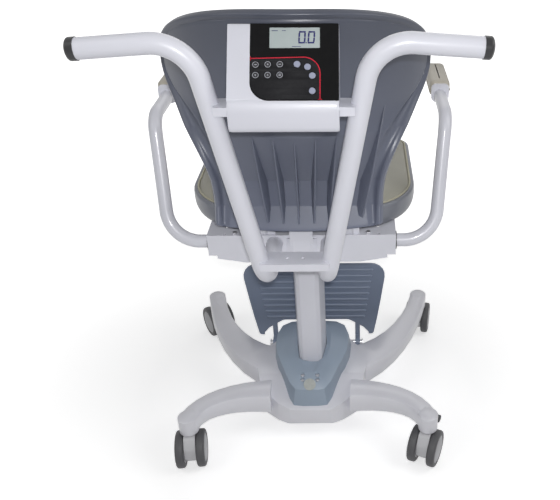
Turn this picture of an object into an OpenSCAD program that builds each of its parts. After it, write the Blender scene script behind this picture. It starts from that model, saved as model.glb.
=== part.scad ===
// Digital chair scale on a four-legged wheeled base, millimetres.
// X is across, +Y is the way the sitter faces, Z is up from the floor.
// Depths called "back" or "ahead" are measured from the rear face of the column.

/* [Whole] */
// Y of the rear face of the column, which centres the object over the origin
column_y = -52; // [-80:1:-20]

/* [Handlebar] */
// Outside diameter of the handlebar tube
bar_d = 32; // [28:0.5:36]
// Wall of the handlebar tube
bar_wall = 2; // [1.5:0.5:3]
// Half the distance between the two grip ends
bar_half = 299; // [270:1:320]
// Height of the corner where each upright turns into its grip
bar_corner_z = 928.5; // [880:0.5:960]
// Half the distance between the two corners
bar_corner_x = 132; // [120:1:150]
// Drop of each grip from its corner to its end
grip_drop = 12; // [0:1:20]
// Half the distance between the two feet of the handlebar
bar_foot_x = 52; // [45:1:60]
// How far the feet stand back
bar_foot_back = 199; // [180:1:220]
// How far the corners stand back
bar_corner_back = 225; // [200:1:250]
// Centreline radius of the bends at the grips
elbow_r = 66; // [50:1:80]
// Centreline radius of the bends at the feet
foot_bend_r = 48; // [40:1:60]
// Length of the black end cap over the tube
cap_len = 9; // [6:1:20]
// Height of the cap's dome past the tube end
cap_dome = 7; // [4:1:12]

/* [Indicator] */
// Width of the indicator housing
ind_w = 162; // [150:1:180]
// Length of the sloping face
ind_face = 117; // [100:1:125]
// Angle of the face from the vertical
ind_tilt = 38; // [30:1:45]
// Height of the lower edge of the face
ind_low_z = 851; // [840:1:860]
// How far back the lower edge of the face stands
ind_low_back = 256; // [250:1:262]
// Thickness of the housing behind its face
ind_depth = 40; // [36:1:46]
// Wall of the housing
ind_wall = 2.5; // [2:0.5:4]
// Thickness of the black front plate
plate_t = 1.5; // [1:0.1:2.5]
// Width of the light strip at the left of the black plate
strip_w = 33; // [26:1:40]
// Width of the display window
lcd_w = 73; // [60:1:80]
// Height of the display window
lcd_h = 31; // [26:1:34]
// Diameter of the keys
key_d = 9.6; // [8:0.1:11]
// Travel of the keys
key_travel = 0.4; // [0.3:0.1:0.6]

/* [Crossbars] */
// Height of the top of the upper crossbar
upper_bar_z = 834; // [825:1:838]
// Height of the top of the lower crossbar
lower_bar_z = 551; // [546:1:570]
// Depth of the crossbars' top face
crossbar_deep = 42; // [36:1:46]
// Height of the crossbars' rear lip
crossbar_lip = 14; // [10:1:18]
// Sheet thickness of the crossbars
crossbar_t = 3; // [2:0.5:4]

/* [Seat frame] */
// Width of the seat frame
frame_w = 360; // [350:1:372]
// How far back the rear face of the seat frame stands
frame_back = 66; // [62:1:72]
// How far ahead the front face of the seat frame stands
frame_ahead = 190; // [170:1:230]
// Height of the top of the seat frame
frame_z = 518; // [515:0.5:521]
// Depth of the skirt at the ends
skirt_end = 44; // [42:1:48]
// Depth of the skirt at the middle
skirt_mid = 60; // [56:1:66]
// Sheet thickness of the seat frame
frame_t = 3; // [2.5:0.5:4]

/* [Seat] */
// Width of the seat pan
seat_w = 444; // [420:1:450]
// How far back the seat pan reaches
seat_back = 54; // [48:1:56]
// How far ahead the seat pan reaches
seat_ahead = 300; // [280:1:330]
// Radius of the rear corners of the seat pan
seat_rear_r = 126; // [90:1:140]
// Radius of the front corners of the seat pan
seat_front_r = 42; // [30:1:60]
// Height of the rim above the seat frame
seat_rim = 48; // [42:1:56]
// Width of the rim round the cushion
seat_lip = 8; // [6:0.5:12]
// Wall of the seat pan
seat_wall = 4; // [3:0.5:6]
// Height of the cushion's crown above the rim
cushion_crown = 14; // [8:1:20]

/* [Backrest] */
// How far back the middle of the shell stands at its foot
shell_back = 106; // [100:1:112]
// Backward lean of the shell's middle from foot to top
shell_lean = 8; // [0:1:14]
// Height of the lower edge of the shell at the middle
shell_foot_z = 548; // [544:1:560]
// Height of the top of the shell at the middle
shell_top_z = 945; // [920:1:960]
// Half width of the shell at its foot
shell_foot_w = 154; // [148:1:160]
// Half width of the shell at its widest
shell_wide_w = 240; // [225:1:243]
// Height at which the shell is widest
shell_wide_z = 830; // [810:1:850]
// Least radius of the shell's curve across, at the widest height
shell_curve_r = 284; // [270:1:330]
// Wall of the shell
shell_t = 4; // [3:0.5:6]
// Height of the lower kink of the lumbar recess
kink_low_z = 592; // [589:1:596]
// Height of the upper kink of the lumbar recess
kink_high_z = 640; // [632:1:652]
// Height at which the lumbar recess runs out
recess_top_z = 733; // [715:1:745]
// Depth of the recess at its lower kink
recess_low = 19.5; // [14:0.5:21]
// Depth of the recess at its upper kink
recess_high = 24; // [18:0.5:26]
// How far back the fins' outer edges stand at their feet
fin_back = 102.5; // [101:0.5:104]
// Thickness of the fins
fin_t = 3.4; // [2.5:0.1:5]
// Thickness of the back pad above the recess
pad_t = 30; // [26:1:36]
// Swell of the back pad's front at the small of the back
pad_lumbar = 10; // [6:1:14]

/* [Armrests] */
// Outside diameter of the arm tubes
arm_d = 26; // [24:0.5:28]
// Wall of the arm tubes
arm_wall = 2; // [1.5:0.5:3]
// How far back the pivot of the armrests stands
arm_pivot_back = 44; // [40:1:46]
// Drop of the armrests' pivot below the top of the seat frame
arm_pivot_drop = 24; // [23:0.5:26]
// Half the distance between the two lower corners of the arm tubes
arm_low_x = 256; // [252:1:262]
// Half the distance between the two forward runs
arm_high_x = 276; // [272:1:284]
// Height of the forward run
arm_high_z = 714; // [700:1:730]
// How far ahead the upper corner stands
arm_high_ahead = 44; // [30:1:55]
// How far ahead the arm tube ends
arm_end_ahead = 270; // [240:1:280]
// Centreline radius of the lower bends
arm_low_r = 64; // [50:1:70]
// Centreline radius of the upper bends
arm_high_r = 44; // [36:1:55]
// Width of the arm pads
armpad_w = 42; // [36:1:44]
// Length of the arm pads
armpad_l = 134; // [110:1:140]
// Thickness of the arm pads above the tube's middle
armpad_h = 27; // [22:1:34]
// How far ahead the rear of the pads stands
armpad_ahead = 166; // [160:1:175]
// Running clearance at the arm pivot bushes
arm_clear = 0.05; // [0.02:0.01:0.1]

/* [Column] */
// Width of the flat rear face of the column
column_flat = 32.6; // [28:0.2:36]
// Greatest width of the column
column_w = 64; // [58:1:70]
// Depth of the column front to rear
column_l = 124; // [110:1:130]
// Wall of the column
column_wall = 4; // [3:0.5:6]
// Height of the foot plate under the column
foot_plate_t = 10; // [8:1:12]

/* [Base] */
// Height of the base's top at the column
base_top = 120; // [116:1:124]
// Height of the base's underside at the column
base_under = 40; // [34:1:46]
// Height of the rear lip's top edge
base_lip_z = 84; // [76:1:92]
// Half the distance between the rear swivels
rear_x = 253; // [245:1:262]
// How far back the rear swivels stand
rear_back = 134; // [126:1:142]
// Half the distance between the front swivels
front_x = 263; // [255:1:270]
// How far ahead the front swivels stand
front_ahead = 311; // [300:1:320]
// Radius of the rounded leg tips
tip_r = 20.5; // [19:0.5:23]
// Height of the top of the leg tips
tip_top = 123; // [120:1:126]
// Height of the underside of the leg tips
tip_under = 84; // [82.5:0.5:88]

/* [Casters] */
// Diameter of the wheels
wheel_d = 80; // [76:1:80]
// Width of each wheel
wheel_w = 18; // [15:0.5:19]
// Gap between the two wheels of a caster
wheel_gap = 25; // [24.5:0.5:28]
// Distance from the swivel axis back to the axle
trail = 11; // [8:1:14]
// Diameter of the axle
axle_d = 8; // [6:0.5:10]
// Diameter of the swivel journal
journal_d = 10; // [8:0.5:12]
// Running clearance of the axle, journal and pedal pin
caster_clear = 0.05; // [0.02:0.01:0.1]
// Resting direction of the rear left caster
turn_rear_left = -6; // [-45:1:45]
// Resting direction of the rear right caster
turn_rear_right = 23; // [-45:1:45]
// Resting direction of the front left caster
turn_front_left = -33; // [-45:1:45]
// Resting direction of the front right caster
turn_front_right = 11; // [-45:1:45]

/* [Footrest] */
// Half width of the footrest at its hinge
foot_near_w = 140; // [130:1:146]
// Half width of the footrest at its free edge
foot_far_w = 176; // [160:1:180]
// Length of the footrest
foot_l = 226; // [200:1:232]
// Thickness of the footrest plate
foot_t = 6; // [4:0.5:8]
// Number of grip ribs
foot_ribs = 9; // [5:1:10]
// How far ahead the hinge stands
hinge_ahead = 200; // [196:1:206]
// Height of the hinge
hinge_z = 52; // [48:1:56]
// Diameter of the hinge rod
hinge_d = 14; // [10:1:16]
// Running clearance of the hinge rod
hinge_clear = 0.05; // [0.02:0.01:0.1]

/* [Hidden] */
$fn = 48;

paint = "#e4e2e8";
slate = "#5f6a76";
blue_grey = "#7f8fa6";
beige = "#b9a98c";
dark = "#2b2c30";
light_grey = "#c9c9cf";
steel = "#a9abb0";

arm_pivot_z = frame_z - arm_pivot_drop;

// Y of a place so far ahead of the column's rear face
function fy(ahead) = column_y + ahead;
function unit(v) = v / norm(v);
// Eases from 0 to 1 with level ends
function ease(t) = let (c = min(1, max(0, t))) c * c * (3 - 2 * c);
function mix(a, b, t) = a + (b - a) * t;

// Points of a closed outline whose corners are turned into arcs of n steps
function rounded(points, radii, n = 6) = [
  for (i = [0:len(points) - 1])
    let (
      a = points[(i + len(points) - 1) % len(points)],
      b = points[i],
      c = points[(i + 1) % len(points)],
      d1 = unit(b - a),
      d2 = unit(c - b),
      turn = atan2(d1.x * d2.y - d1.y * d2.x, d1 * d2),
      r = max(0.01, is_num(radii) ? radii : radii[i]),
      start = b - d1 * r * tan(abs(turn) / 2),
      centre = start + sign(turn) * r * [-d1.y, d1.x],
      from = atan2(start.y - centre.y, start.x - centre.x)
    )
    for (k = [0:n]) centre + r * [cos(from + turn * k / n), sin(from + turn * k / n)]
];

// Rectangle outline about a middle point
function rect_points(w, l) = [[-w / 2, -l / 2], [w / 2, -l / 2], [w / 2, l / 2], [-w / 2, l / 2]];

// Point of a cubic curve through four control points, and its heading in plan
function curve(p, t) = p[0] * pow(1 - t, 3) + 3 * p[1] * t * pow(1 - t, 2)
  + 3 * p[2] * t * t * (1 - t) + p[3] * pow(t, 3);
function curve_dir(p, t) = unit(3 * (p[1] - p[0]) * pow(1 - t, 2)
  + 6 * (p[2] - p[1]) * t * (1 - t) + 3 * (p[3] - p[2]) * t * t);

// Solid through equal rings of points, closed by a flat fan at each end
module loft(rings) {
  n = len(rings[0]);
  m = len(rings);
  sides = [
    for (j = [0:m - 2])
      for (i = [0:n - 1])
        let (k = (i + 1) % n)
        each [
          [j * n + i, (j + 1) * n + i, (j + 1) * n + k],
          [j * n + i, (j + 1) * n + k, j * n + k]
        ]
  ];
  near = [for (i = [1:n - 2]) [0, i, i + 1]];
  far = [for (i = [1:n - 2]) [(m - 1) * n, (m - 1) * n + i + 1, (m - 1) * n + i]];
  polyhedron(points = [for (ring = rings) each ring], faces = concat(sides, near, far));
}

// Solid between two equal grids of points that share the same outline order
module sheet_between(rear, front) {
  rows = len(rear);
  cols = len(rear[0]);
  half = rows * cols;
  function at(i, j) = i * cols + j;
  quads = [for (i = [0:rows - 2]) for (j = [0:cols - 2]) [at(i, j), at(i, j + 1), at(i + 1, j + 1), at(i + 1, j)]];
  edge = concat(
    [for (j = [0:cols - 2]) [at(0, j), at(0, j + 1)]],
    [for (i = [0:rows - 2]) [at(i, cols - 1), at(i + 1, cols - 1)]],
    [for (j = [cols - 1:-1:1]) [at(rows - 1, j), at(rows - 1, j - 1)]],
    [for (i = [rows - 1:-1:1]) [at(i, 0), at(i - 1, 0)]]
  );
  faces = concat(
    [for (q = quads) each [[q[2], q[1], q[0]], [q[3], q[2], q[0]]]],
    [for (q = quads) each [[q[0] + half, q[1] + half, q[2] + half], [q[0] + half, q[2] + half, q[3] + half]]],
    [for (e = edge) each [[e[0], e[1], e[0] + half], [e[1], e[1] + half, e[0] + half]]]
  );
  polyhedron(points = concat([for (row = rear) each row], [for (row = front) each row]), faces = faces);
}

// Section of a round tube
module ring_section(d, wall) {
  difference() {
    circle(d = d);
    circle(d = d - 2 * wall);
  }
}

// Round bar between two points, a hair slimmer than a bend of the same size so that it ends inside one
bend_step = 0.24;
bend_lap = 1.5;
module round_bar(from, to, d) {
  v = to - from;
  translate(from) rotate([0, acos(v.z / norm(v)), atan2(v.y, v.x)]) cylinder(d = d - bend_step, h = norm(v));
}

// Round bend about a corner, from one heading to the next
module round_bend(corner, d1, d2, r, d) {
  turn = acos(d1 * d2);
  start = corner - d1 * r * tan(turn / 2);
  n = (d2 - (d1 * d2) * d1) / sin(turn);
  e1 = -n;
  e3 = cross(e1, d1);
  translate(start + r * n)
    rotate([atan2(d1.z, e3.z), -asin(e1.z), atan2(e1.y, e1.x)])
      rotate_extrude(angle = turn) translate([r, 0]) circle(d = d);
}

// Bar along corner points, bent to the given radius at each inner corner, with more at each end
module bent_bar(points, radii, d, more) {
  last = len(points) - 1;
  dirs = [for (i = [0:last - 1]) unit(points[i + 1] - points[i])];
  cut = [
    for (i = [0:last])
      (i == 0 || i == last) ? -more : radii[i - 1] * tan(acos(dirs[i - 1] * dirs[i]) / 2) - bend_lap
  ];
  for (i = [0:last - 1])
    round_bar(points[i] + dirs[i] * cut[i], points[i + 1] - dirs[i] * cut[i + 1], d);
  for (i = [1:last - 1])
    round_bend(points[i], dirs[i - 1], dirs[i], radii[i - 1], d);
}
module bent_tube(points, radii, d, wall) {
  difference() {
    bent_bar(points, radii, d, 0);
    bent_bar(points, radii, d - 2 * wall, 1);
  }
}

// Draws the right-hand copy, or its mirror image for the left
module on_side(side) {
  if (side < 0) mirror([1, 0, 0]) children();
  else children();
}

// Extrudes an outline of (ahead, Z) points across X
module across(x0, x1) {
  translate([x0, 0, 0]) rotate([90, 0, 90]) linear_extrude(x1 - x0) children();
}

// Extrudes an outline of (X, Z) points along Y
module along(ahead0, ahead1) {
  translate([0, fy(ahead1), 0]) rotate([90, 0, 0]) linear_extrude(ahead1 - ahead0) children();
}

// Handlebar
weld_gap = 0.2;
bar_foot_z = frame_z - frame_t - bar_d / 2 - weld_gap;
bar_inset = 70;
bar_points = [
  [bar_foot_x, fy(-frame_back + bar_inset), bar_foot_z],
  [bar_foot_x, fy(-bar_foot_back), bar_foot_z],
  [bar_corner_x, fy(-bar_corner_back), bar_corner_z],
  [bar_half, fy(-bar_corner_back), bar_corner_z - grip_drop]
];
// Middle of an upright tube at a height
function upright_at(z) = mix(bar_points[1], bar_points[2], (z - bar_foot_z) / (bar_corner_z - bar_foot_z));

module handle_tube(side) {
  color(paint)
    on_side(side) bent_tube(bar_points, [foot_bend_r, elbow_r], bar_d, bar_wall);
}

cap_wall = 1;
cap_fit = 0.1;
module handle_cap() {
  heading = unit(bar_points[3] - bar_points[2]);
  r = bar_d / 2 + cap_wall;
  translate(bar_points[3])
    rotate([0, acos(heading.z), atan2(heading.y, heading.x)])
      difference() {
        rotate_extrude()
          polygon(concat(
            [[0, -cap_len], [r, -cap_len], [r, 0]],
            [for (a = [15:15:90]) [r * cos(a), cap_dome * sin(a)]]
          ));
        translate([0, 0, -cap_len - 1]) cylinder(d = bar_d + cap_fit, h = cap_len + 1);
      }
}
module handle_caps() {
  color(dark) for (side = [-1, 1]) on_side(side) handle_cap();
}

// Crossbars are bent plates, notched round the uprights
module upright_cut(gap) {
  for (side = [-1, 1])
    on_side(side) round_bar(upright_at(bar_foot_z), upright_at(bar_corner_z), bar_d + 2 * gap);
}
upper_lap = 9.5;
lower_lap = 3.5;
module crossbar(z, lap) {
  at = upright_at(z);
  half = at.x - lap;
  y0 = at.y - crossbar_deep / 2;
  color(paint)
    difference() {
      union() {
        translate([-half, y0, z - crossbar_t]) cube([2 * half, crossbar_deep, crossbar_t]);
        translate([-half, y0, z - crossbar_lip]) cube([2 * half, crossbar_t, crossbar_lip]);
      }
      upright_cut(weld_gap);
      children();
    }
}
ind_screw_d = 4;
ind_screw_x = 45;
screw_fit = 0.1;
module upper_crossbar() {
  crossbar(upper_bar_z, upper_lap)
    for (side = [-1, 1])
      translate([side * ind_screw_x, upright_at(upper_bar_z).y, upper_bar_z - crossbar_t - 1])
        cylinder(d = ind_screw_d + screw_fit, h = crossbar_t + 2);
}
accessory_hole_d = 6;
accessory_hole_x = 13;
module lower_crossbar() {
  crossbar(lower_bar_z, lower_lap)
    for (side = [-1, 1])
      translate([side * accessory_hole_x, upright_at(lower_bar_z).y, lower_bar_z - crossbar_t - 1])
        cylinder(d = accessory_hole_d, h = crossbar_t + 2);
}

// Indicator: its face plane has its own frame, x across, y up the slope and z outwards
ind_left = ind_w / 2 - 1;
module on_face() {
  translate([0, fy(-ind_low_back), ind_low_z]) rotate([90 - ind_tilt, 0, 0]) children();
}
function face_point(v, w) = [
  -ind_low_back + v * sin(ind_tilt) + w * cos(ind_tilt),
  ind_low_z + v * cos(ind_tilt) - w * sin(ind_tilt)
];
ind_lip = 33;
ind_lip_t = 6;
ind_foot_ahead = -192;
function ind_outline(inset) = let (i = inset) [
  [fy(-ind_low_back) + 6 + i, upper_bar_z + i],
  [fy(ind_foot_ahead) - i, upper_bar_z + i],
  [fy(face_point(ind_face, ind_depth).x) - i * 1.2, face_point(ind_face, ind_depth).y - i * 0.5],
  [fy(face_point(ind_face, 0).x) + i * 0.6, face_point(ind_face, 0).y - i * 1.6],
  [fy(-ind_low_back) + i * 1.3, ind_low_z + i * 0.2]
];
plate_x0 = -ind_left + strip_w;
plate_x1 = ind_w - ind_left - 0.01;
plate_y1 = ind_face + 0.5;
plate_r = 28;
ind_window = [plate_x0 + 2, 4, plate_x1 - 3, ind_face - 3.5];
module indicator_housing() {
  color(light_grey)
    difference() {
      union() {
        across(-ind_left, ind_w - ind_left) polygon(rounded(ind_outline(0), [1, 5, 6, 6, 3], 4));
        across(-ind_left, ind_w - ind_left)
          polygon(rounded([
            [fy(-ind_low_back), ind_low_z],
            [fy(-ind_low_back) - 6, ind_low_z - 13],
            [fy(-ind_low_back) - 6, ind_low_z - ind_lip - 6],
            [fy(-ind_low_back) - 1, ind_low_z - ind_lip - 15],
            [fy(-ind_low_back) + ind_lip_t, ind_low_z - ind_lip - 15],
            [fy(-ind_low_back) + ind_lip_t, upper_bar_z + 8]
          ], [3, 6, 4, 2, 1, 0.5], 4));
      }
      across(-ind_left + ind_wall, ind_w - ind_left - ind_wall) polygon(ind_outline(ind_wall));
      on_face() translate([ind_window[0], ind_window[1], -ind_wall * 4])
        cube([ind_window[2] - ind_window[0], ind_window[3] - ind_window[1], ind_wall * 6]);
      on_face() translate([plate_x0, -1, -plate_t]) linear_extrude(20) plate_shape(0);
      for (side = [-1, 1])
        translate([side * ind_screw_x, upright_at(upper_bar_z).y, upper_bar_z - 1])
          cylinder(d = ind_screw_d + screw_fit, h = ind_wall + 2);
    }
}
module plate_shape(gap) {
  w = plate_x1 - plate_x0;
  polygon(rounded(
    [[gap, gap], [w + 1, gap], [w + 1, plate_y1 + 8], [gap, plate_y1 + 8]],
    [plate_r, 1, 1, 1], 8
  ));
}
lcd_x0 = -18.5;
lcd_y0 = 78;
key_rows = [
  [-38.4, 53], [-20.8, 53.3], [-3.3, 53.5], [-38.4, 37.3], [-20.8, 37.4], [-3.4, 37.5],
  [21.5, 53.7], [36.7, 49.7], [43.6, 36.5], [43.5, 13.7]
];
key_gap = 0.3;
key_rise = 0.6;
key_flange = 1.2;
flange_gap = 0.2;
switch_gap = 0.1;
board_t = 1.6;
lcd_t = 5;
board_z = -plate_t - lcd_t - board_t;
module indicator_panel() {
  color("#15161a")
    difference() {
      on_face() intersection() {
        translate([plate_x0, -1, -plate_t]) linear_extrude(plate_t) plate_shape(0);
        translate([plate_x0, -1, -plate_t]) cube([plate_x1 - plate_x0, plate_y1 - 1, plate_t]);
      }
      on_face() translate([lcd_x0, lcd_y0, -plate_t - 1]) cube([lcd_w, lcd_h, plate_t + 2]);
      for (k = key_rows)
        on_face() translate([k.x, k.y, -plate_t - 1]) cylinder(d = key_d + 2 * key_gap, h = plate_t + 2);
    }
}
lcd_fit = 0.2;
lcd_frame = 3;
lcd_sunk = 0.4;
module lcd_module() {
  color("#aeb6a6")
    on_face() {
      translate([lcd_x0 + lcd_fit, lcd_y0 + lcd_fit, -plate_t - 1])
        cube([lcd_w - 2 * lcd_fit, lcd_h - 2 * lcd_fit, plate_t + 1 - lcd_sunk]);
      translate([lcd_x0 - lcd_frame, lcd_y0 - lcd_frame, -plate_t - lcd_t])
        cube([lcd_w + 2 * lcd_frame, lcd_h + 2 * lcd_frame, lcd_t]);
    }
}
stem_d = 4;
key_base = -plate_t - flange_gap - key_flange - 1;
module key(k) {
  color("#4a505a")
    on_face() translate([key_rows[k].x, key_rows[k].y, 0]) {
      translate([0, 0, -plate_t - flange_gap - key_flange]) cylinder(d = key_d + 2, h = key_flange);
      translate([0, 0, -plate_t - flange_gap - 0.1])
        cylinder(d = key_d, h = plate_t + flange_gap + 0.1 + key_rise);
      translate([0, 0, key_base]) cylinder(d = stem_d, h = 1.1);
    }
}
switch_w = 6;
board_x0 = plate_x0 + 8;
board_x1 = plate_x1 - 8;
module indicator_board() {
  switch_top = key_base - key_travel - switch_gap;
  color("#2f6b46")
    on_face() {
      translate([board_x0, 7, board_z]) cube([board_x1 - board_x0, ind_face - 16, board_t]);
      for (k = key_rows)
        translate([k.x - switch_w / 2, k.y - switch_w / 2, board_z])
          cube([switch_w, switch_w, switch_top - board_z]);
      for (x = [board_x0 + 3, lcd_x0 + lcd_w + lcd_frame - 3])
        translate([x - 2, lcd_y0 - lcd_frame - 8, board_z]) cube([4, 4, -plate_t - board_z]);
    }
}
battery_w = 100;
battery_l = 36;
battery_h = 15;
module battery_pack() {
  color("#30343c")
    translate([-battery_w / 2, fy(ind_foot_ahead) - ind_wall - 2 - battery_l, upper_bar_z + ind_wall])
      cube([battery_w, battery_l, battery_h]);
}
ind_screw_head = 8;
module indicator_screws() {
  color(steel)
    for (side = [-1, 1])
      translate([side * ind_screw_x, upright_at(upper_bar_z).y, upper_bar_z - crossbar_t]) {
        translate([0, 0, -2.6]) cylinder(d = ind_screw_head, h = 2.6);
        translate([0, 0, -1]) cylinder(d = ind_screw_d, h = crossbar_t + ind_wall + 0.8);
      }
}

// Column
function column_half(i) = let (
  f = column_flat / 2 - i * 0.6,
  m = column_w / 2 - 7.4 - i * 0.9,
  w = column_w / 2 - i,
  l = column_l
) [[f, i], [m, 6 + i * 0.7], [w, l * 0.4], [w, l * 0.6], [m, l - 6 - i * 0.7], [f, l - i]];
function column_outline(i) = let (h = column_half(i)) concat(
  [for (p = h) [p.x, fy(p.y)]],
  [for (k = [len(h) - 1:-1:0]) [-h[k].x, fy(h[k].y)]]
);
column_bolt_x = 42;
column_bolt_ends = [0, column_l];
column_bolt_d = 10;
foot_plate_w = 2 * column_bolt_x + 20;
foot_plate_reach = 12;
head_plate_w = 80;
head_plate_t = 10;
head_plate_inset = 6;
load_cell_h = 40;
load_cell_w = 34;
load_cell_l = 110;
spacer_t = 8;
spacer_l = 34;
cell_bolt_d = 6;
cell_bolt_x = 8;
cell_front = column_l - 12;
column_top = frame_z - frame_t - load_cell_h - 2 * spacer_t - head_plate_t;
module column() {
  color(paint)
    difference() {
      union() {
        translate([0, 0, base_top]) linear_extrude(column_top - base_top)
          polygon(rounded(column_outline(0), 3, 3));
        translate([-foot_plate_w / 2, fy(-foot_plate_reach), base_top])
          cube([foot_plate_w, column_l + 2 * foot_plate_reach, foot_plate_t]);
        translate([-head_plate_w / 2, fy(head_plate_inset), column_top])
          cube([head_plate_w, column_l - 2 * head_plate_inset, head_plate_t]);
      }
      translate([0, 0, base_top - 1]) linear_extrude(column_top - base_top + 1)
        polygon(column_outline(column_wall));
      for (x = [-column_bolt_x, column_bolt_x])
        for (y = column_bolt_ends)
          translate([x, fy(y), base_top - 1]) cylinder(d = column_bolt_d + screw_fit, h = foot_plate_t + 2);
      for (x = [-cell_bolt_x, cell_bolt_x])
        translate([x, fy(cell_front - spacer_l / 2), column_top - 1])
          cylinder(d = cell_bolt_d + screw_fit, h = head_plate_t + 2);
    }
}
bolt_deep = 20;
module hex_bolt(d, grip) {
  cylinder(d = d * 1.8, h = d * 0.6, $fn = 6);
  translate([0, 0, -grip]) cylinder(d = d, h = grip + 1);
}
module column_bolts() {
  color(steel)
    for (x = [-column_bolt_x, column_bolt_x])
      for (y = column_bolt_ends)
        translate([x, fy(y), base_top + foot_plate_t]) hex_bolt(column_bolt_d, foot_plate_t + bolt_deep);
}
cell_hole_d = 20;
module load_cell() {
  y0 = cell_front - load_cell_l;
  z0 = column_top + head_plate_t;
  color(steel)
    difference() {
      union() {
        translate([-load_cell_w / 2, fy(y0), z0 + spacer_t]) cube([load_cell_w, load_cell_l, load_cell_h]);
        translate([-load_cell_w / 2, fy(cell_front - spacer_l), z0])
          cube([load_cell_w, spacer_l, spacer_t + 1]);
        translate([-load_cell_w / 2, fy(y0), z0 + spacer_t + load_cell_h - 1])
          cube([load_cell_w, spacer_l, spacer_t + 1]);
      }
      for (s = [-1, 1])
        translate([-load_cell_w, fy(y0 + load_cell_l / 2 + s * cell_hole_d * 0.45), z0 + spacer_t + load_cell_h / 2])
          rotate([0, 90, 0]) cylinder(d = cell_hole_d, h = 2 * load_cell_w);
    }
}

// Seat frame: an inverted tray of sheet metal with inner cheeks for the arm pivots
cheek_x = 124;
bush_wall = 2.5;
bush_bore = arm_d - bend_step + 2 * arm_clear;
bush_d = bush_bore + 2 * bush_wall;
skirt_step = 16;
skirt_drop = 7;
skirt_flat = 0.62;
frame_hole_d = 7;
frame_hole_x = 146.5;
frame_hole_ahead = [-31, -61];
module seat_frame() {
  h = frame_w / 2;
  color(paint)
    difference() {
      union() {
        translate([-h, fy(-frame_back), frame_z - frame_t])
          cube([frame_w, frame_back + frame_ahead, frame_t]);
        for (at = [-frame_back, frame_ahead - frame_t])
          along(at, at + frame_t)
            polygon([
              [-h, frame_z - 1], [-h, frame_z - skirt_end],
              [-h + skirt_step, frame_z - skirt_end], [-h + skirt_step, frame_z - skirt_end - skirt_drop],
              [-h * skirt_flat, frame_z - skirt_mid], [h * skirt_flat, frame_z - skirt_mid],
              [h - skirt_step, frame_z - skirt_end - skirt_drop], [h - skirt_step, frame_z - skirt_end],
              [h, frame_z - skirt_end], [h, frame_z - 1]
            ]);
        for (x = [-h, h - frame_t, -cheek_x - frame_t / 2, cheek_x - frame_t / 2])
          translate([x, fy(-frame_back), frame_z - skirt_end])
            cube([frame_t, frame_back + frame_ahead, skirt_end - 1]);
      }
      for (side = [-1, 1]) {
        translate([side * bar_foot_x, fy(-frame_back) - 1, bar_foot_z])
          rotate([-90, 0, 0]) cylinder(d = bar_d + 2 * weld_gap, h = frame_t + 2);
        for (x = [cheek_x, h - frame_t / 2])
          translate([side * x - frame_t, fy(-arm_pivot_back), arm_pivot_z])
            rotate([0, 90, 0]) cylinder(d = bush_d, h = 2 * frame_t);
        for (y = frame_hole_ahead)
          translate([side * frame_hole_x, fy(y), frame_z - frame_t - 1])
            cylinder(d = frame_hole_d, h = frame_t + 2);
      }
    }
}
bush_flange_t = 2;
bush_flange_d = bush_d + 5;
module arm_bush() {
  difference() {
    union() {
      cylinder(d = bush_d, h = frame_t + 1);
      translate([0, 0, frame_t]) cylinder(d = bush_flange_d, h = bush_flange_t);
    }
    translate([0, 0, -1]) cylinder(d = bush_bore, h = frame_t + bush_flange_t + 3);
  }
}
module arm_bushes() {
  color(dark)
    for (side = [-1, 1])
      on_side(side)
        for (x = [cheek_x - frame_t / 2, frame_w / 2 - frame_t])
          translate([x, fy(-arm_pivot_back), arm_pivot_z]) rotate([0, 90, 0]) arm_bush();
}

// Armrests
arm_end_x = 108;
arm_points = [
  [arm_end_x, fy(-arm_pivot_back), arm_pivot_z],
  [arm_low_x, fy(-arm_pivot_back), arm_pivot_z],
  [arm_high_x, fy(arm_high_ahead), arm_high_z],
  [arm_high_x, fy(arm_end_ahead), arm_high_z]
];
arm_keeper_d = arm_d + 6;
collar_t = 5;
module arm_tube(side) {
  color(paint)
    on_side(side) {
      bent_tube(arm_points, [arm_low_r, arm_high_r], arm_d, arm_wall);
      translate([arm_end_x + 4, fy(-arm_pivot_back), arm_pivot_z])
        rotate([0, 90, 0])
          linear_extrude(6) ring_section(arm_keeper_d, 3.5);
      translate([arm_high_x, fy(armpad_ahead - collar_t), arm_high_z])
        rotate([-90, 0, 0])
          linear_extrude(collar_t - 0.3)
            difference() {
              polygon(rounded([
                [-armpad_w / 2 + 3, -armpad_h + 4], [armpad_w / 2 - 3, -armpad_h + 4],
                [armpad_w / 2 - 3, arm_d / 2 + 2], [-armpad_w / 2 + 3, arm_d / 2 + 2]
              ], [9, 9, 12, 12], 5));
              circle(d = arm_d - 0.5);
            }
    }
}
pad_sink = 3;
function pad_ring(inset, z) = [
  for (p = rounded(rect_points(armpad_w - 2 * inset, armpad_l - 2 * inset), 9, 4))
    [arm_high_x + p.x, fy(armpad_ahead + armpad_l / 2) + p.y, z]
];
module arm_pad(side) {
  z0 = arm_high_z - pad_sink;
  z1 = arm_high_z + armpad_h;
  color(beige)
    on_side(side) difference() {
      loft([
        pad_ring(3, z0), pad_ring(0.5, z0 + 3), pad_ring(0, z0 + 10), pad_ring(0.4, z1 - 8),
        pad_ring(2.2, z1 - 3), pad_ring(6, z1 - 0.6), pad_ring(9.5, z1)
      ]);
      translate([arm_high_x, fy(armpad_ahead) - 1, arm_high_z])
        rotate([-90, 0, 0]) cylinder(d = arm_d + 2 * weld_gap, h = arm_end_ahead - armpad_ahead + 2);
    }
}

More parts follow.
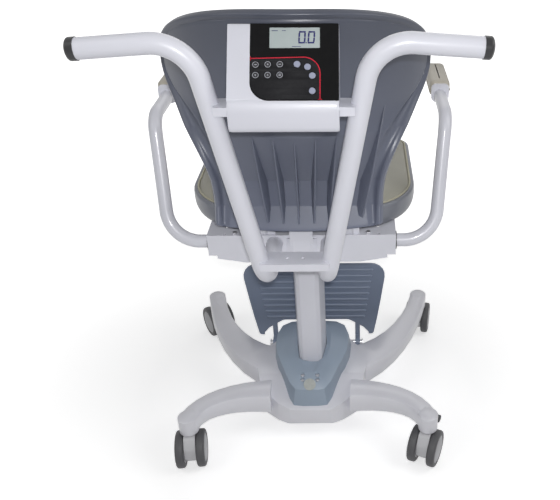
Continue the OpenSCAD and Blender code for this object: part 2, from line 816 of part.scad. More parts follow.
// Seat pan and cushion: stacked outlines
function seat_outline(i) = rounded(
  [
    [-seat_w / 2 + i, fy(-seat_back) + i], [seat_w / 2 - i, fy(-seat_back) + i],
    [seat_w / 2 - i, fy(seat_ahead) - i], [-seat_w / 2 + i, fy(seat_ahead) - i]
  ],
  [seat_rear_r - i, seat_rear_r - i, seat_front_r - min(i, seat_front_r - 4), seat_front_r - min(i, seat_front_r - 4)],
  8
);
function seat_ring(i, z) = [for (p = seat_outline(i)) [p.x, p.y, z]];
module seat_pan() {
  z = frame_z;
  floor_z = z + seat_wall;
  rim = z + seat_rim;
  color(slate)
    loft([
      seat_ring(20, z), seat_ring(9, z + 3), seat_ring(3, z + 11), seat_ring(0, z + 24),
      seat_ring(0, rim - 6), seat_ring(1, rim - 2), seat_ring(3, rim),
      seat_ring(seat_lip - 1.5, rim), seat_ring(seat_lip, rim - 2),
      seat_ring(seat_lip, z + 24), seat_ring(seat_lip + 5, floor_z + 6), seat_ring(24, floor_z)
    ]);
}
cushion_fit = 0.3;
module seat_cushion() {
  z = frame_z + seat_wall + cushion_fit;
  rim = frame_z + seat_rim;
  i = seat_lip + cushion_fit;
  top = rim + cushion_crown;
  color(beige)
    loft([
      seat_ring(26, z), seat_ring(i + 6, z + 7), seat_ring(i + 0.5, z + 22), seat_ring(i + 1.5, rim - 5),
      seat_ring(i + 4, rim), seat_ring(i + 9, mix(rim, top, 0.3)), seat_ring(i + 18, mix(rim, top, 0.55)),
      seat_ring(i + 34, mix(rim, top, 0.76)), seat_ring(i + 58, mix(rim, top, 0.92)), seat_ring(i + 90, top)
    ]);
}

// Backrest shell, recessed behind at the small of the back, with splayed fins standing in the recess
function share(a, b, z) = min(1, max(0, (z - a) / (b - a)));
shell_curve_z0 = shell_foot_z + 62;
function shell_half(z) = mix(
  shell_foot_w, shell_wide_w, ease(pow(max(0, (z - shell_foot_z - 52) / (shell_wide_z - shell_foot_z - 52)), 1.15))
);
shell_corner = 105;
function shell_top(u) = shell_top_z - 10 * u * u - shell_corner * (1 - pow(max(0, 1 - pow(abs(u), 3)), 1 / 3));
function shell_mid(z) = -shell_back - shell_lean * ease((z - shell_foot_z) / (shell_top_z - shell_foot_z));
function shell_bend(z) = ease((z - shell_curve_z0) / 170) / shell_curve_r;
function recess(z) = z < kink_low_z ? recess_low * share(shell_foot_z, kink_low_z, z)
  : z < kink_high_z ? mix(recess_low, recess_high, share(kink_low_z, kink_high_z, z))
  : recess_high * (1 - share(kink_high_z, recess_top_z, z));
// Ahead and slope of the shell's rear face at x and z
function shell_ahead(x, z) = let (k = shell_bend(z), r = 1 / max(k, 0.00001))
  shell_mid(z) + recess(z) + r - sqrt(max(1, r * r - x * x));
function shell_lean_at(x, z) = asin(min(0.95, max(-0.95, x * shell_bend(z))));
// Rows of the shell: level ones up to just under its shoulders, then shares of the way to its top edge
foot_rise = 12;
shell_levels = [
  mix(shell_foot_z, kink_low_z, 0.5), kink_low_z, mix(kink_low_z, kink_high_z, 0.5), kink_high_z,
  mix(kink_high_z, recess_top_z, 0.33), mix(kink_high_z, recess_top_z, 0.67), recess_top_z,
  mix(recess_top_z, shell_wide_z, 0.22), mix(recess_top_z, shell_wide_z, 0.45)
];
shell_shares = [0.3, 0.56, 0.77, 0.9, 0.97, 1];
function row_z(i, foot, levels, shares, top) = let (n = len(levels))
  i == 0 ? foot : i <= n ? levels[i - 1] : mix(levels[n - 1], top, shares[i - n - 1]);
shell_roll = 6;
roll_from = 0.94;
shell_cols = [-1, -0.985, -0.94, -0.84, -0.66, -0.45, -0.23, 0, 0.23, 0.45, 0.66, 0.84, 0.94, 0.985, 1];
function shell_x(s, z) = s * (z < shell_wide_z ? shell_half(z) : shell_wide_w);
// Point a distance out from the rear face, along its normal in plan
function shell_point(s, i, out) = let (
  z = row_z(i, shell_foot_z + foot_rise * s * s, shell_levels, shell_shares, shell_top(s)),
  x = shell_x(s, z),
  a = shell_lean_at(x, z),
  top = share(shell_levels[len(shell_levels) - 1], shell_top(s), z),
  edge = max((abs(s) - roll_from) / (1 - roll_from), (top - 0.9) / 0.1, 0),
  roll = shell_roll * edge * edge
) [x - (out + roll) * sin(a), fy(shell_ahead(x, z) + (out + roll) * cos(a)), z];
function shell_grid(out) = [
  for (i = [0:len(shell_levels) + len(shell_shares)]) [for (s = shell_cols) shell_point(s, i, out)]
];
// Each fin's outer edge at its top and foot as x and z, its splay from straight back, and its bow
fins = [
  [[0, 722], [0, 562], 0, 0], [[37, 728], [29, 563], 16, 1],
  [[74, 737], [57, 565], 21, 4], [[157, 775], [117, 575], 36, 15]
];
fin_root = 2.4;
fin_steps = 6;
// The fins' roots are trimmed short of the shell's front face, and lie within this depth behind it
fin_shy = 1.2;
fin_room = 60;
// Depth of a fin from its outer edge at e to the shell, along the splay
function fin_depth(e, splay, d = 0, tries = 6) = tries == 0 ? d
  : fin_depth(e, splay, (shell_ahead(e.x - d * sin(splay), e.z) - e.y) / cos(splay), tries - 1);
module fin(top, foot, splay, bow) {
  head = [top.x, shell_ahead(top.x, top.y) - 0.4, top.y];
  heel = [foot.x, -fin_back + max(0, shell_ahead(foot.x, foot.y) - shell_ahead(0, foot.y)), foot.y];
  rise = unit(head - heel);
  inward = [-sin(splay), cos(splay), 0];
  side = unit(cross(inward, rise));
  deep = cross(rise, side);
  edge = [
    for (k = [0:fin_steps])
      let (t = k / fin_steps, e = mix(heel, head, t) - [0, 4 * bow * t * (1 - t), 0])
      [e, e + inward * (max(0.2, fin_depth(e, splay)) + fin_root)]
  ];
  outline = concat([for (k = [0:fin_steps]) edge[k][0] - heel], [for (k = [fin_steps:-1:0]) edge[k][1] - heel]);
  multmatrix([
    [deep.x, rise.x, side.x, heel.x], [deep.y, rise.y, side.y, fy(heel.y)], [deep.z, rise.z, side.z, heel.z],
    [0, 0, 0, 1]
  ])
    translate([0, 0, -fin_t / 2]) linear_extrude(fin_t) polygon([for (p = outline) [p * deep, p * rise]]);
}
module backrest_shell() {
  color(slate) {
    sheet_between(shell_grid(0), shell_grid(shell_t));
    intersection() {
      sheet_between(shell_grid(-fin_room), shell_grid(shell_t - fin_shy));
      union() {
        fin(fins[0][0], fins[0][1], fins[0][2], fins[0][3]);
        for (side = [-1, 1])
          for (f = [fins[1], fins[2], fins[3]])
            on_side(side) fin(f[0], f[1], f[2], f[3]);
      }
    }
  }
}

// Back pad, hollowed behind for the bracket's strap
strap_w = 44;
strap_t = 5;
strap_gap = 0.9;
strap_top_z = kink_high_z - 4;
pad_gap = 1.5;
pad_margin = 16;
pad_edge = 8;
pad_cols = [-1, -0.97, -0.88, -0.72, -0.5, -0.3, -0.2, 0, 0.2, 0.3, 0.5, 0.72, 0.88, 0.97, 1];
pad_foot_z = kink_low_z + 2;
pad_foot_rise = 8;
pad_levels = [
  mix(pad_foot_z, kink_high_z, 0.4), kink_high_z, mix(kink_high_z, recess_top_z, 0.33),
  mix(kink_high_z, recess_top_z, 0.67), recess_top_z, mix(recess_top_z, shell_wide_z, 0.22),
  mix(recess_top_z, shell_wide_z, 0.45)
];
pad_shares = [0.3, 0.6, 0.82, 0.95, 1];
function swell(z) = pad_lumbar * ease((z - shell_foot_z - 12) / 60) * ease((shell_wide_z - 70 - z) / 110);
function pad_point(s, i, front) = let (
  foot = pad_foot_z + pad_foot_rise * s * s,
  top = shell_top(s * 0.94) - pad_margin,
  z = row_z(i, foot, pad_levels, pad_shares, top),
  t = share(foot, top, z),
  x = s * ((z < shell_wide_z ? shell_half(z) : shell_wide_w) - pad_margin),
  a = shell_lean_at(x, z),
  hollow = strap_t + strap_gap - pad_gap + 0.6,
  groove = hollow * ease((0.42 - abs(s)) / 0.14) * (z < kink_high_z + 1 ? 1 : 0),
  side = pow(max(0, 1 - pow(abs(s), 6)), 0.5) * pow(max(0, 1 - pow(abs(2 * t - 1), 6)), 0.5),
  full = pad_t + swell(z) - recess(z),
  out = shell_t + pad_gap + (front ? pad_edge + (full - pad_edge) * side : groove)
) [x - out * sin(a), fy(shell_ahead(x, z) + out * cos(a)), z];
function pad_grid(front) = [
  for (i = [0:len(pad_levels) + len(pad_shares)]) [for (s = pad_cols) pad_point(s, i, front)]
];
module back_pad() {
  color(beige) sheet_between(pad_grid(false), pad_grid(true));
}

// Brackets from the seat frame up into the shell: one on its rear face, and a webbed plate on each side
hat_w = 32;
hat_flare = 13;
hat_flange = 2;
hat_deep = 8;
hat_foot_z = 462;
side_plate_x = [50, 110];
side_plate_ahead = [-61, -58];
side_plate_h = 27;
web_x = [66, 98];
web_t = 3;
web_top_z = kink_low_z - 6;
// Ahead of the shell's front face, less the gap of whatever reaches it
function seat_of(x, z) = shell_ahead(x, z) + shell_t + strap_gap;
module back_bracket() {
  knee_z = frame_z - 6;
  strap_ahead = -frame_back - hat_flange;
  color(paint) {
    translate([0, 0, hat_foot_z]) linear_extrude(knee_z - hat_foot_z)
      polygon([
        [-hat_w / 2 - hat_flare, fy(-frame_back)], [-hat_w / 2 - hat_flare, fy(strap_ahead)],
        [-hat_w / 2, fy(-frame_back - hat_deep)], [hat_w / 2, fy(-frame_back - hat_deep)],
        [hat_w / 2 + hat_flare, fy(strap_ahead)], [hat_w / 2 + hat_flare, fy(-frame_back)]
      ]);
    across(-strap_w / 2, strap_w / 2)
      polygon([
        [fy(strap_ahead), knee_z - 12], [fy(seat_of(0, kink_low_z)) + strap_t, kink_low_z],
        [fy(seat_of(0, strap_top_z)) + strap_t, strap_top_z], [fy(seat_of(0, strap_top_z)), strap_top_z],
        [fy(seat_of(0, kink_low_z)), kink_low_z], [fy(strap_ahead) - strap_t, knee_z - 12]
      ]);
    for (side = [-1, 1])
      on_side(side) {
        across(side_plate_x[0], side_plate_x[1])
          polygon([
            [fy(side_plate_ahead[0]), frame_z], [fy(side_plate_ahead[1]), frame_z],
            [fy(side_plate_ahead[1]), frame_z + side_plate_h], [fy(side_plate_ahead[0]), frame_z + side_plate_h]
          ]);
        for (x = web_x)
          across(x - web_t / 2, x + web_t / 2)
            polygon([
              [fy(side_plate_ahead[1]) - 1, frame_z + 1], [fy(side_plate_ahead[0]) - 3, frame_z + 1],
              [fy(seat_of(x, shell_foot_z + 8)), shell_foot_z + 8], [fy(seat_of(x, web_top_z)), web_top_z],
              [fy(seat_of(x, web_top_z)) + 5, web_top_z], [fy(side_plate_ahead[1]) - 1, frame_z + side_plate_h - 1]
            ]);
      }
  }
}
// Bolts: x and height on the side plates, and x on the frame's top
plate_bolts = [[57, 531], [90, 537], [104, 537]];
top_bolt_x = 127;
top_bolt_ahead = -57;
frame_bolt_d = 5;
frame_bolt_head = 3;
module frame_bolts() {
  color(steel)
    for (side = [-1, 1])
      on_side(side) {
        for (p = plate_bolts)
          translate([p.x, fy(side_plate_ahead[0]), p.y])
            rotate([90, 0, 0]) cylinder(d = frame_bolt_d * 1.8, h = frame_bolt_head, $fn = 6);
        translate([top_bolt_x, fy(top_bolt_ahead), frame_z])
          cylinder(d = frame_bolt_d * 1.8, h = frame_bolt_head, $fn = 6);
      }
}

// Base: a hub with a sloping rear lip, and a swept leg to each caster
rear_leg = [[88, fy(-42)], [165, fy(-46)], [232, fy(-72)], [rear_x, fy(-rear_back)]];
front_leg = [[78, fy(52)], [168, fy(76)], [236, fy(180)], [front_x, fy(front_ahead)]];
leg_steps = 8;
leg_root_under = 66;
leg_root_top = 118;
leg_edge = 9;
stem_hole_d = 12;
stem_up = 26;
// Rounded section of a leg, square to its heading
function leg_ring(p, d, w, z0, z1) = let (a = w / 2, e = leg_edge, s = [-d.y, d.x]) [
  for (q = [
    [-a, z0 + e], [-a + e * 0.3, z0 + e * 0.3], [-a + e, z0], [a - e, z0],
    [a - e * 0.3, z0 + e * 0.3], [a, z0 + e], [a, z1 - e], [a - e * 0.3, z1 - e * 0.3],
    [a - e, z1], [-a + e, z1], [-a + e * 0.3, z1 - e * 0.3], [-a, z1 - e]
  ]) [p.x + s.x * q.x, p.y + s.y * q.x, q.y]
];
module leg(path, w0, shape) {
  tip = path[3];
  loft([
    for (k = [0:leg_steps])
      let (t = k / leg_steps)
      leg_ring(
        curve(path, t), curve_dir(path, t),
        mix(w0, 2 * tip_r, 1 - pow(1 - t, shape)),
        mix(leg_root_under, tip_under, min(1, t * 1.25)),
        mix(leg_root_top, tip_top, t)
      )
  ]);
  translate([tip.x, tip.y, tip_under]) cylinder(r = tip_r, h = tip_top - tip_under - 2.5);
  translate([tip.x, tip.y, tip_top - 2.5]) cylinder(r1 = tip_r, r2 = tip_r - 3, h = 2.5);
}
hub_rear = -78;
hub_front = 150;
nose_ahead = 186;
nose_w = 116;
post_x = 16;
post_w = 13;
post_l = 22;
post_ahead = -43.5;
post_top = 134;
cover_screw_d = 4;
cover_screw_ahead = [-39, -48];
module hub() {
  intersection() {
    translate([0, 0, base_under]) linear_extrude(base_top)
      polygon(rounded([
        [-44, fy(hub_rear)], [44, fy(hub_rear)], [72, fy(-64)], [112, fy(-30)], [128, fy(40)],
        [104, fy(100)], [66, fy(hub_front)], [nose_w / 2, fy(nose_ahead)],
        [-nose_w / 2, fy(nose_ahead)], [-66, fy(hub_front)], [-104, fy(100)], [-128, fy(40)],
        [-112, fy(-30)], [-72, fy(-64)]
      ], [6, 6, 12, 20, 30, 24, 20, 6, 6, 20, 24, 30, 20, 12], 3));
    across(-150, 150)
      polygon(rounded([
        [fy(hub_rear), base_under], [fy(nose_ahead), base_under], [fy(nose_ahead), base_lip_z],
        [fy(hub_front - 10), base_top], [fy(0), base_top], [fy(hub_rear), base_lip_z]
      ], [5, 5, 5, 20, 20, 4], 3));
  }
}
function hub_top(ahead) = ahead < 0 ? mix(base_lip_z, base_top, (ahead - hub_rear) / -hub_rear) : base_top;
module base_frame() {
  color(paint)
    difference() {
      union() {
        hub();
        for (side = [-1, 1])
          on_side(side) {
            leg(rear_leg, 60, 1.4);
            leg(front_leg, 100, 1.7);
            translate([post_x - post_w / 2, fy(post_ahead - post_l / 2), base_under + 10])
              cube([post_w, post_l, post_top - base_under - 10]);
          }
      }
      for (side = [-1, 1]) {
        for (tip = [rear_leg[3], front_leg[3]])
          translate([side * tip.x, tip.y, tip_under - 1]) cylinder(d = stem_hole_d, h = stem_up + 1);
        for (y = column_bolt_ends)
          translate([side * column_bolt_x, fy(y), base_top - bolt_deep - 2])
            cylinder(d = column_bolt_d, h = bolt_deep + 3);
        for (y = cover_screw_ahead)
          translate([side * post_x, fy(y), post_top - screw_bite - 2]) cylinder(d = cover_screw_d, h = screw_bite + 3);
      }
    }
}

// Moulded cover over the hub, wrapped round the foot of the column
cover_t = 3;
cover_gap = 0.3;
// Half outlines from the rear round to the front: x, ahead, z
cover_foot = [
  [16, -71, 84.5], [37, -69, 85.5], [46, -56, 91], [60, -19, 112], [76, 17, 121], [86, 56, 121],
  [89, 100, 121], [82, 134, 121], [60, 152, 121], [24, 156, 121]
];
cover_ridge = [
  [14, -66, 128], [32, -64, 130], [45, -50, 137], [64, -8, 152], [79, 30, 157], [84, 62, 159],
  [83, 96, 160], [74, 128, 159], [54, 144, 158], [22, 148, 158]
];
cover_crown = [
  [11, -52, 142], [23, -50, 143], [33, -38, 149], [48, -4, 159], [58, 32, 163], [61, 62, 165],
  [60, 92, 165], [52, 116, 164], [40, 130, 163], [18, 134, 163]
];
cover_neck = [
  [9, -34, 153], [20, -33, 153], [27, -22, 156], [36, 2, 162], [42, 34, 166], [43, 62, 167],
  [42, 88, 167], [36, 110, 166], [27, 128, 165], [12, 130, 165]
];
function cover_ring(half, inset, drop) = let (
  inner = [for (p = half) [p.x - inset * min(1, p.x / 40 + 0.4), fy(p.y) + inset * (p.y < 30 ? 1 : -1), p.z - drop]]
) concat(inner, [for (k = [len(inner) - 1:-1:0]) [-inner[k].x, inner[k].y, inner[k].z]]);
function cover_between(a, b, t, out) = [
  for (k = [0:len(a) - 1]) mix(a[k], b[k], t) + [out * (a[k].x - b[k].x) / 20, out * (a[k].y - b[k].y) / 20, out * 0.6]
];
module cover_form(inset, drop) {
  loft([
    cover_ring([for (p = cover_foot) [p.x, p.y, p.z - (inset > 0 ? 12 : 0)]], inset, 0),
    cover_ring(cover_foot, inset, 0),
    cover_ring(cover_between(cover_foot, cover_ridge, 0.85, 0), inset, drop),
    cover_ring(cover_between(cover_ridge, cover_crown, 0.06, 0.5), inset, drop),
    cover_ring(cover_between(cover_ridge, cover_crown, 0.3, 1), inset, drop),
    cover_ring(cover_crown, inset, drop),
    cover_ring(cover_neck, inset, drop)
  ]);
}
level_ahead = -58;
level_z = 138;
level_d = 22;
level_h = 8;
level_tilt = 38;
screw_head_d = 8;
screw_head_t = 2.4;
screw_bite = 12;
well_d = 13;
well_deep = 4;
module base_cover() {
  color(blue_grey)
    difference() {
      union() {
        difference() {
          cover_form(0, 0);
          cover_form(cover_t, cover_t);
        }
        intersection() {
          cover_form(0.5, 0.5);
          for (side = [-1, 1])
            for (y = cover_screw_ahead)
              translate([side * post_x, fy(y), post_top + cover_gap]) cylinder(d = well_d, h = 40);
        }
      }
      across(-150, 150)
        polygon([
          [fy(hub_rear - 10), 0], [fy(200), 0], [fy(200), base_top + cover_gap],
          [fy(0), base_top + cover_gap], [fy(hub_rear), base_lip_z + cover_gap],
          [fy(hub_rear - 10), base_lip_z + cover_gap]
        ]);
      translate([0, 0, base_top]) linear_extrude(100) polygon(column_outline(-1));
      translate([0, fy(level_ahead), level_z]) rotate([level_tilt, 0, 0])
        cylinder(d = level_d + 0.4, h = 60, center = true);
      for (side = [-1, 1])
        for (y = cover_screw_ahead) {
          translate([side * post_x, fy(y), base_top]) cylinder(d = cover_screw_d + 0.4, h = 60);
          translate([side * post_x, fy(y), cover_z(y) - well_deep]) cylinder(d = screw_head_d + 0.8, h = 60);
        }
    }
}
module bubble_level() {
  color("#9aa19a")
    translate([0, fy(level_ahead), level_z]) rotate([level_tilt, 0, 0]) {
      translate([0, 0, -level_h / 2]) cylinder(d = level_d, h = level_h);
      translate([0, 0, level_h / 2 - 1.5]) cylinder(d = level_d + 4, h = 1.5);
    }
}
module cover_screws() {
  color(steel)
    for (side = [-1, 1])
      for (y = cover_screw_ahead)
        translate([side * post_x, fy(y), 0]) {
          translate([0, 0, post_top - screw_bite])
            cylinder(d = cover_screw_d, h = cover_z(y) - well_deep - post_top + screw_bite + 1);
          translate([0, 0, cover_z(y) - well_deep]) cylinder(d = screw_head_d, h = screw_head_t);
        }
}
// Height of the cover's top near a screw
function cover_z(ahead) = mix(143, 154, (ahead + 51) / 17);

// Casters, each about its own swivel axis
module at_caster(x, ahead, turn) {
  translate([x, fy(ahead), 0]) rotate([0, 0, turn]) children();
}
caster_places = [
  [-rear_x, -rear_back, -turn_rear_left], [rear_x, -rear_back, -turn_rear_right],
  [-front_x, front_ahead, 180 - turn_front_left], [front_x, front_ahead, 180 - turn_front_right]
];
fork_w = 24;
stem_collar_t = 3;
stem_collar_d = 24;
journal_l = 30;
thrust_gap = 0.5;
fork_top = tip_under - stem_collar_t - thrust_gap;
module caster_stem() {
  translate([0, 0, tip_under - stem_collar_t]) cylinder(d = stem_collar_d, h = stem_collar_t);
  translate([0, 0, tip_under - 1]) cylinder(d = stem_hole_d, h = stem_up);
  translate([0, 0, fork_top - journal_l]) cylinder(d = journal_d, h = journal_l + thrust_gap + 1);
}
module caster_stems() {
  color(dark)
    for (p = caster_places) at_caster(p.x, p.y, p.z) caster_stem();
}
pedal_y = 24;
pedal_z = 68;
pedal_pin_d = 5;
pedal_arm_w = 12;
pedal_slot_gap = 0.4;
axle_half = wheel_gap / 2 + wheel_w - 3;
module caster_housing(k) {
  p = caster_places[k];
  color(light_grey)
    at_caster(p.x, p.y, p.z)
      difference() {
        union() {
          translate([-fork_w / 2, 0, 0]) rotate([90, 0, 90]) linear_extrude(fork_w)
            polygon(rounded([
              [-trail - 26, wheel_d / 2 - 8], [-trail - 12, wheel_d / 2 - 26], [-trail + 12, wheel_d / 2 - 26],
              [-trail + 30, wheel_d / 2 - 8], [pedal_y + 7, pedal_z - 10], [pedal_y + 7, fork_top - 3],
              [pedal_y - 3, fork_top], [-22, fork_top], [-trail - 26, wheel_d / 2 + 18]
            ], [10, 10, 10, 14, 8, 3, 4, 14, 14], 4));
          translate([-axle_half, -trail, wheel_d / 2]) rotate([0, 90, 0]) cylinder(d = axle_d, h = 2 * axle_half);
        }
        translate([0, 0, fork_top - journal_l - thrust_gap])
          cylinder(d = journal_d + 2 * caster_clear, h = journal_l + 10);
        translate([-pedal_arm_w / 2 - pedal_slot_gap, pedal_y - 9, pedal_z - 9])
          cube([pedal_arm_w + 2 * pedal_slot_gap, 40, 40]);
        translate([-fork_w, pedal_y, pedal_z]) rotate([0, 90, 0])
          cylinder(d = pedal_pin_d + 2 * caster_clear, h = 2 * fork_w);
      }
}
pedal_w = 30;
pedal_reach = 54;
pedal_plate = 18;
module caster_pedal(k) {
  p = caster_places[k];
  color(dark)
    at_caster(p.x, p.y, p.z) {
      translate([-fork_w / 2 + 1, pedal_y, pedal_z]) rotate([0, 90, 0]) cylinder(d = pedal_pin_d, h = fork_w - 2);
      translate([-pedal_arm_w / 2, pedal_y, pedal_z]) rotate([0, 90, 0]) cylinder(r = 6, h = pedal_arm_w);
      translate([-pedal_arm_w / 2, pedal_y, pedal_z]) cube([pedal_arm_w, pedal_reach - pedal_plate - pedal_y + 2, 6]);
      translate([0, pedal_reach - pedal_plate / 2, pedal_z])
        linear_extrude(7) polygon(rounded(rect_points(pedal_w, pedal_plate), 4, 4));
    }
}
tyre_edge = 5;
cap_r = 28;
cap_bulge = 1.5;
module wheel(k, side) {
  p = caster_places[k];
  r = wheel_d / 2;
  at_caster(p.x, p.y, p.z)
    translate([side * wheel_gap / 2, -trail, r])
      rotate([0, side * 90, 0])
        difference() {
          rotate_extrude()
            polygon(concat(
              [[0, 0.6], [cap_r - 4, 0.6], [cap_r, 0]],
              [for (a = [-90:18:0]) [r - tyre_edge + tyre_edge * cos(a), tyre_edge + tyre_edge * sin(a)]],
              [for (a = [0:18:90]) [r - tyre_edge + tyre_edge * cos(a), wheel_w - tyre_edge + tyre_edge * sin(a)]],
              [[cap_r + 1, wheel_w], [cap_r, wheel_w - 1.2], [cap_r - 1, wheel_w - 0.5],
              [cap_r * 0.6, wheel_w + cap_bulge * 0.7], [0, wheel_w + cap_bulge]]
            ));
          translate([0, 0, -1]) cylinder(d = axle_d + 2 * caster_clear, h = axle_half - wheel_gap / 2 + 1.4);
        }
}

// Footrest, folded up ahead of the column
hinge_bore = hinge_d + 2 * hinge_clear;
foot_face = 12;
foot_gap = 16;
lug_x0 = 98;
lug_w = 12;
rod_half = lug_x0 + lug_w + 4;
ear_x = 50;
ear_t = 8;
ear_r = 11;
module footrest_hinge() {
  color(paint)
    difference() {
      for (side = [-1, 1])
        on_side(side)
          across(ear_x, ear_x + ear_t)
            polygon(rounded([
              [fy(nose_ahead), hinge_z - ear_r + 1], [fy(hinge_ahead) + 4, hinge_z - ear_r],
              [fy(hinge_ahead) + ear_r, hinge_z], [fy(hinge_ahead) + 4, hinge_z + ear_r],
              [fy(nose_ahead), hinge_z + 24]
            ], [0.5, 6, 8, 8, 0.5], 4));
      translate([-rod_half, fy(hinge_ahead), hinge_z]) rotate([0, 90, 0]) cylinder(d = hinge_d, h = 2 * rod_half);
    }
}
rod_head_d = hinge_d + 6;
module footrest_pin() {
  color(steel) {
    translate([-rod_half, fy(hinge_ahead), hinge_z]) rotate([0, 90, 0]) cylinder(d = hinge_d, h = 2 * rod_half);
    for (side = [-1, 1])
      translate([side * (rod_half + 1.5) - 1.5, fy(hinge_ahead), hinge_z]) rotate([0, 90, 0])
        cylinder(d = rod_head_d, h = 3);
  }
}
arch_w = 132;
arch_h = 48;
foot_corner_r = 34;
rib_h = 2.2;
rib_w = 4;
function foot_half(z) = mix(foot_near_w, foot_far_w, pow(max(0, z / foot_l), 0.8));
module footrest_plate() {
  n = 4;
  z0 = foot_gap;
  right = [for (k = [0:n]) let (z = mix(z0, foot_l, k / n)) [foot_half(z), z]];
  left = [for (k = [n:-1:0]) [-right[k].x, right[k].y]];
  pts = rounded(concat(right, left), [
    for (k = [0:2 * n + 1]) (k == n || k == n + 1) ? foot_corner_r : (k == 0 || k == 2 * n + 1) ? 8 : 60
  ], 5);
  difference() {
    polygon(pts);
    polygon(rounded([
      [-arch_w, 0], [arch_w, 0], [arch_w, z0 + 6], [arch_w * 0.9, z0 + 22], [arch_w * 0.62, arch_h + z0 - 2],
      [-arch_w * 0.62, arch_h + z0 - 2], [-arch_w * 0.9, z0 + 22], [-arch_w, z0 + 6]
    ], [1, 1, 4, 14, 22, 22, 14, 4], 4));
  }
}
module footrest_panel() {
  face = hinge_ahead + foot_face;
  color(slate)
    difference() {
      union() {
        translate([0, 0, hinge_z]) along(face, face + foot_t) footrest_plate();
        for (k = [0:foot_ribs - 1])
          let (z = arch_h + foot_gap + 8 + k * (foot_l - arch_h - foot_gap - 24) / (foot_ribs - 1))
            translate([-foot_half(z) + 34, fy(face - rib_h), hinge_z + z - rib_w / 2])
              cube([2 * foot_half(z) - 68, rib_h + 1, rib_w]);
        for (side = [-1, 1])
          on_side(side) {
            across(lug_x0, lug_x0 + lug_w)
              polygon(concat(
                [for (a = [90:15:270]) [fy(hinge_ahead) + 12 * cos(a), hinge_z + 12 * sin(a)]],
                [[fy(face) + 3, hinge_z - 12], [fy(face) + foot_t, hinge_z + 2],
                [fy(face) + foot_t, hinge_z + arch_h + foot_gap], [fy(face), hinge_z + arch_h + foot_gap],
                [fy(face), hinge_z + 14]]
              ));
          }
      }
      translate([-foot_far_w, fy(hinge_ahead), hinge_z]) rotate([0, 90, 0])
        cylinder(d = hinge_bore, h = 2 * foot_far_w);
    }
}

base_frame();
base_cover();
bubble_level();
cover_screws();
column();
column_bolts();
load_cell();
seat_frame();
frame_bolts();
seat_pan();
seat_cushion();
arm_bushes();
back_bracket();
backrest_shell();
back_pad();
handle_tube(-1);  // handle_tube_left
handle_tube(1);  // handle_tube_right
handle_caps();
upper_crossbar();
lower_crossbar();
indicator_housing();
indicator_panel();
lcd_module();
indicator_board();
battery_pack();
indicator_screws();
footrest_hinge();
footrest_pin();
caster_stems();
key(0);  // ring_key_1
key(1);  // ring_key_2
key(2);  // ring_key_3
key(3);  // ring_key_4
key(4);  // ring_key_5
key(5);  // ring_key_6
key(6);  // solid_key_1
key(7);  // solid_key_2
key(8);  // solid_key_3
key(9);  // solid_key_4
arm_tube(-1);  // arm_tube_left
arm_tube(1);  // arm_tube_right
arm_pad(-1);  // arm_pad_left
arm_pad(1);  // arm_pad_right
footrest_panel();
caster_housing(0);  // caster_housing_rear_left
caster_housing(1);  // caster_housing_rear_right
caster_housing(2);  // caster_housing_front_left
caster_housing(3);  // caster_housing_front_right
caster_pedal(0);  // caster_pedal_rear_left
caster_pedal(1);  // caster_pedal_rear_right
caster_pedal(2);  // caster_pedal_front_left
caster_pedal(3);  // caster_pedal_front_right
wheel(0, -1);  // wheel_rear_left_outer
wheel(0, 1);  // wheel_rear_left_inner
wheel(1, -1);  // wheel_rear_right_inner
wheel(1, 1);  // wheel_rear_right_outer
wheel(2, 1);  // wheel_front_left_outer
wheel(2, -1);  // wheel_front_left_inner
wheel(3, 1);  // wheel_front_right_inner
wheel(3, -1);  // wheel_front_right_outer
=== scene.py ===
import math

import bmesh
import bpy
import numpy as np
from mathutils import Matrix, Vector
from mathutils.geometry import tessellate_polygon


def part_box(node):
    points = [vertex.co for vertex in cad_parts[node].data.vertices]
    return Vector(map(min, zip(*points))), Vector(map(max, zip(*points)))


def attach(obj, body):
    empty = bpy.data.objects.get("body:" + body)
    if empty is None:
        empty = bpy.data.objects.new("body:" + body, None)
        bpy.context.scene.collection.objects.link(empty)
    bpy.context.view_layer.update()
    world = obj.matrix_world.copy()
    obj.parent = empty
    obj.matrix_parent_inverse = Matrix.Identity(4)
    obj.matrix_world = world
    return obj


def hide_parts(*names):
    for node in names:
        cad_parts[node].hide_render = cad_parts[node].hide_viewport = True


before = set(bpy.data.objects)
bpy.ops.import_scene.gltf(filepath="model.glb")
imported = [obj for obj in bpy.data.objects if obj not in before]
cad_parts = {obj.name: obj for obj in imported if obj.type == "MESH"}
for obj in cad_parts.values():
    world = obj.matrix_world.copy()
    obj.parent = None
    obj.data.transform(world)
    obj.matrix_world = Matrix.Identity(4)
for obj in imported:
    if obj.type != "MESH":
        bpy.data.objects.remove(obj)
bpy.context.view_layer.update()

# The camera stands behind the chair and looks down on it, as the person who reads the display does.
# The photograph is an off-axis crop, so the lens is shifted sideways to frame the chair as it does.
camera_place = Vector((0.10975, -1.30985, 1.20199))
camera_pitch = math.radians(30.936)
camera_yaw = math.radians(0.993)
camera_roll = math.radians(0.125)
camera_angle = math.radians(42.36)
camera_shift = (-0.1608, -0.0026)

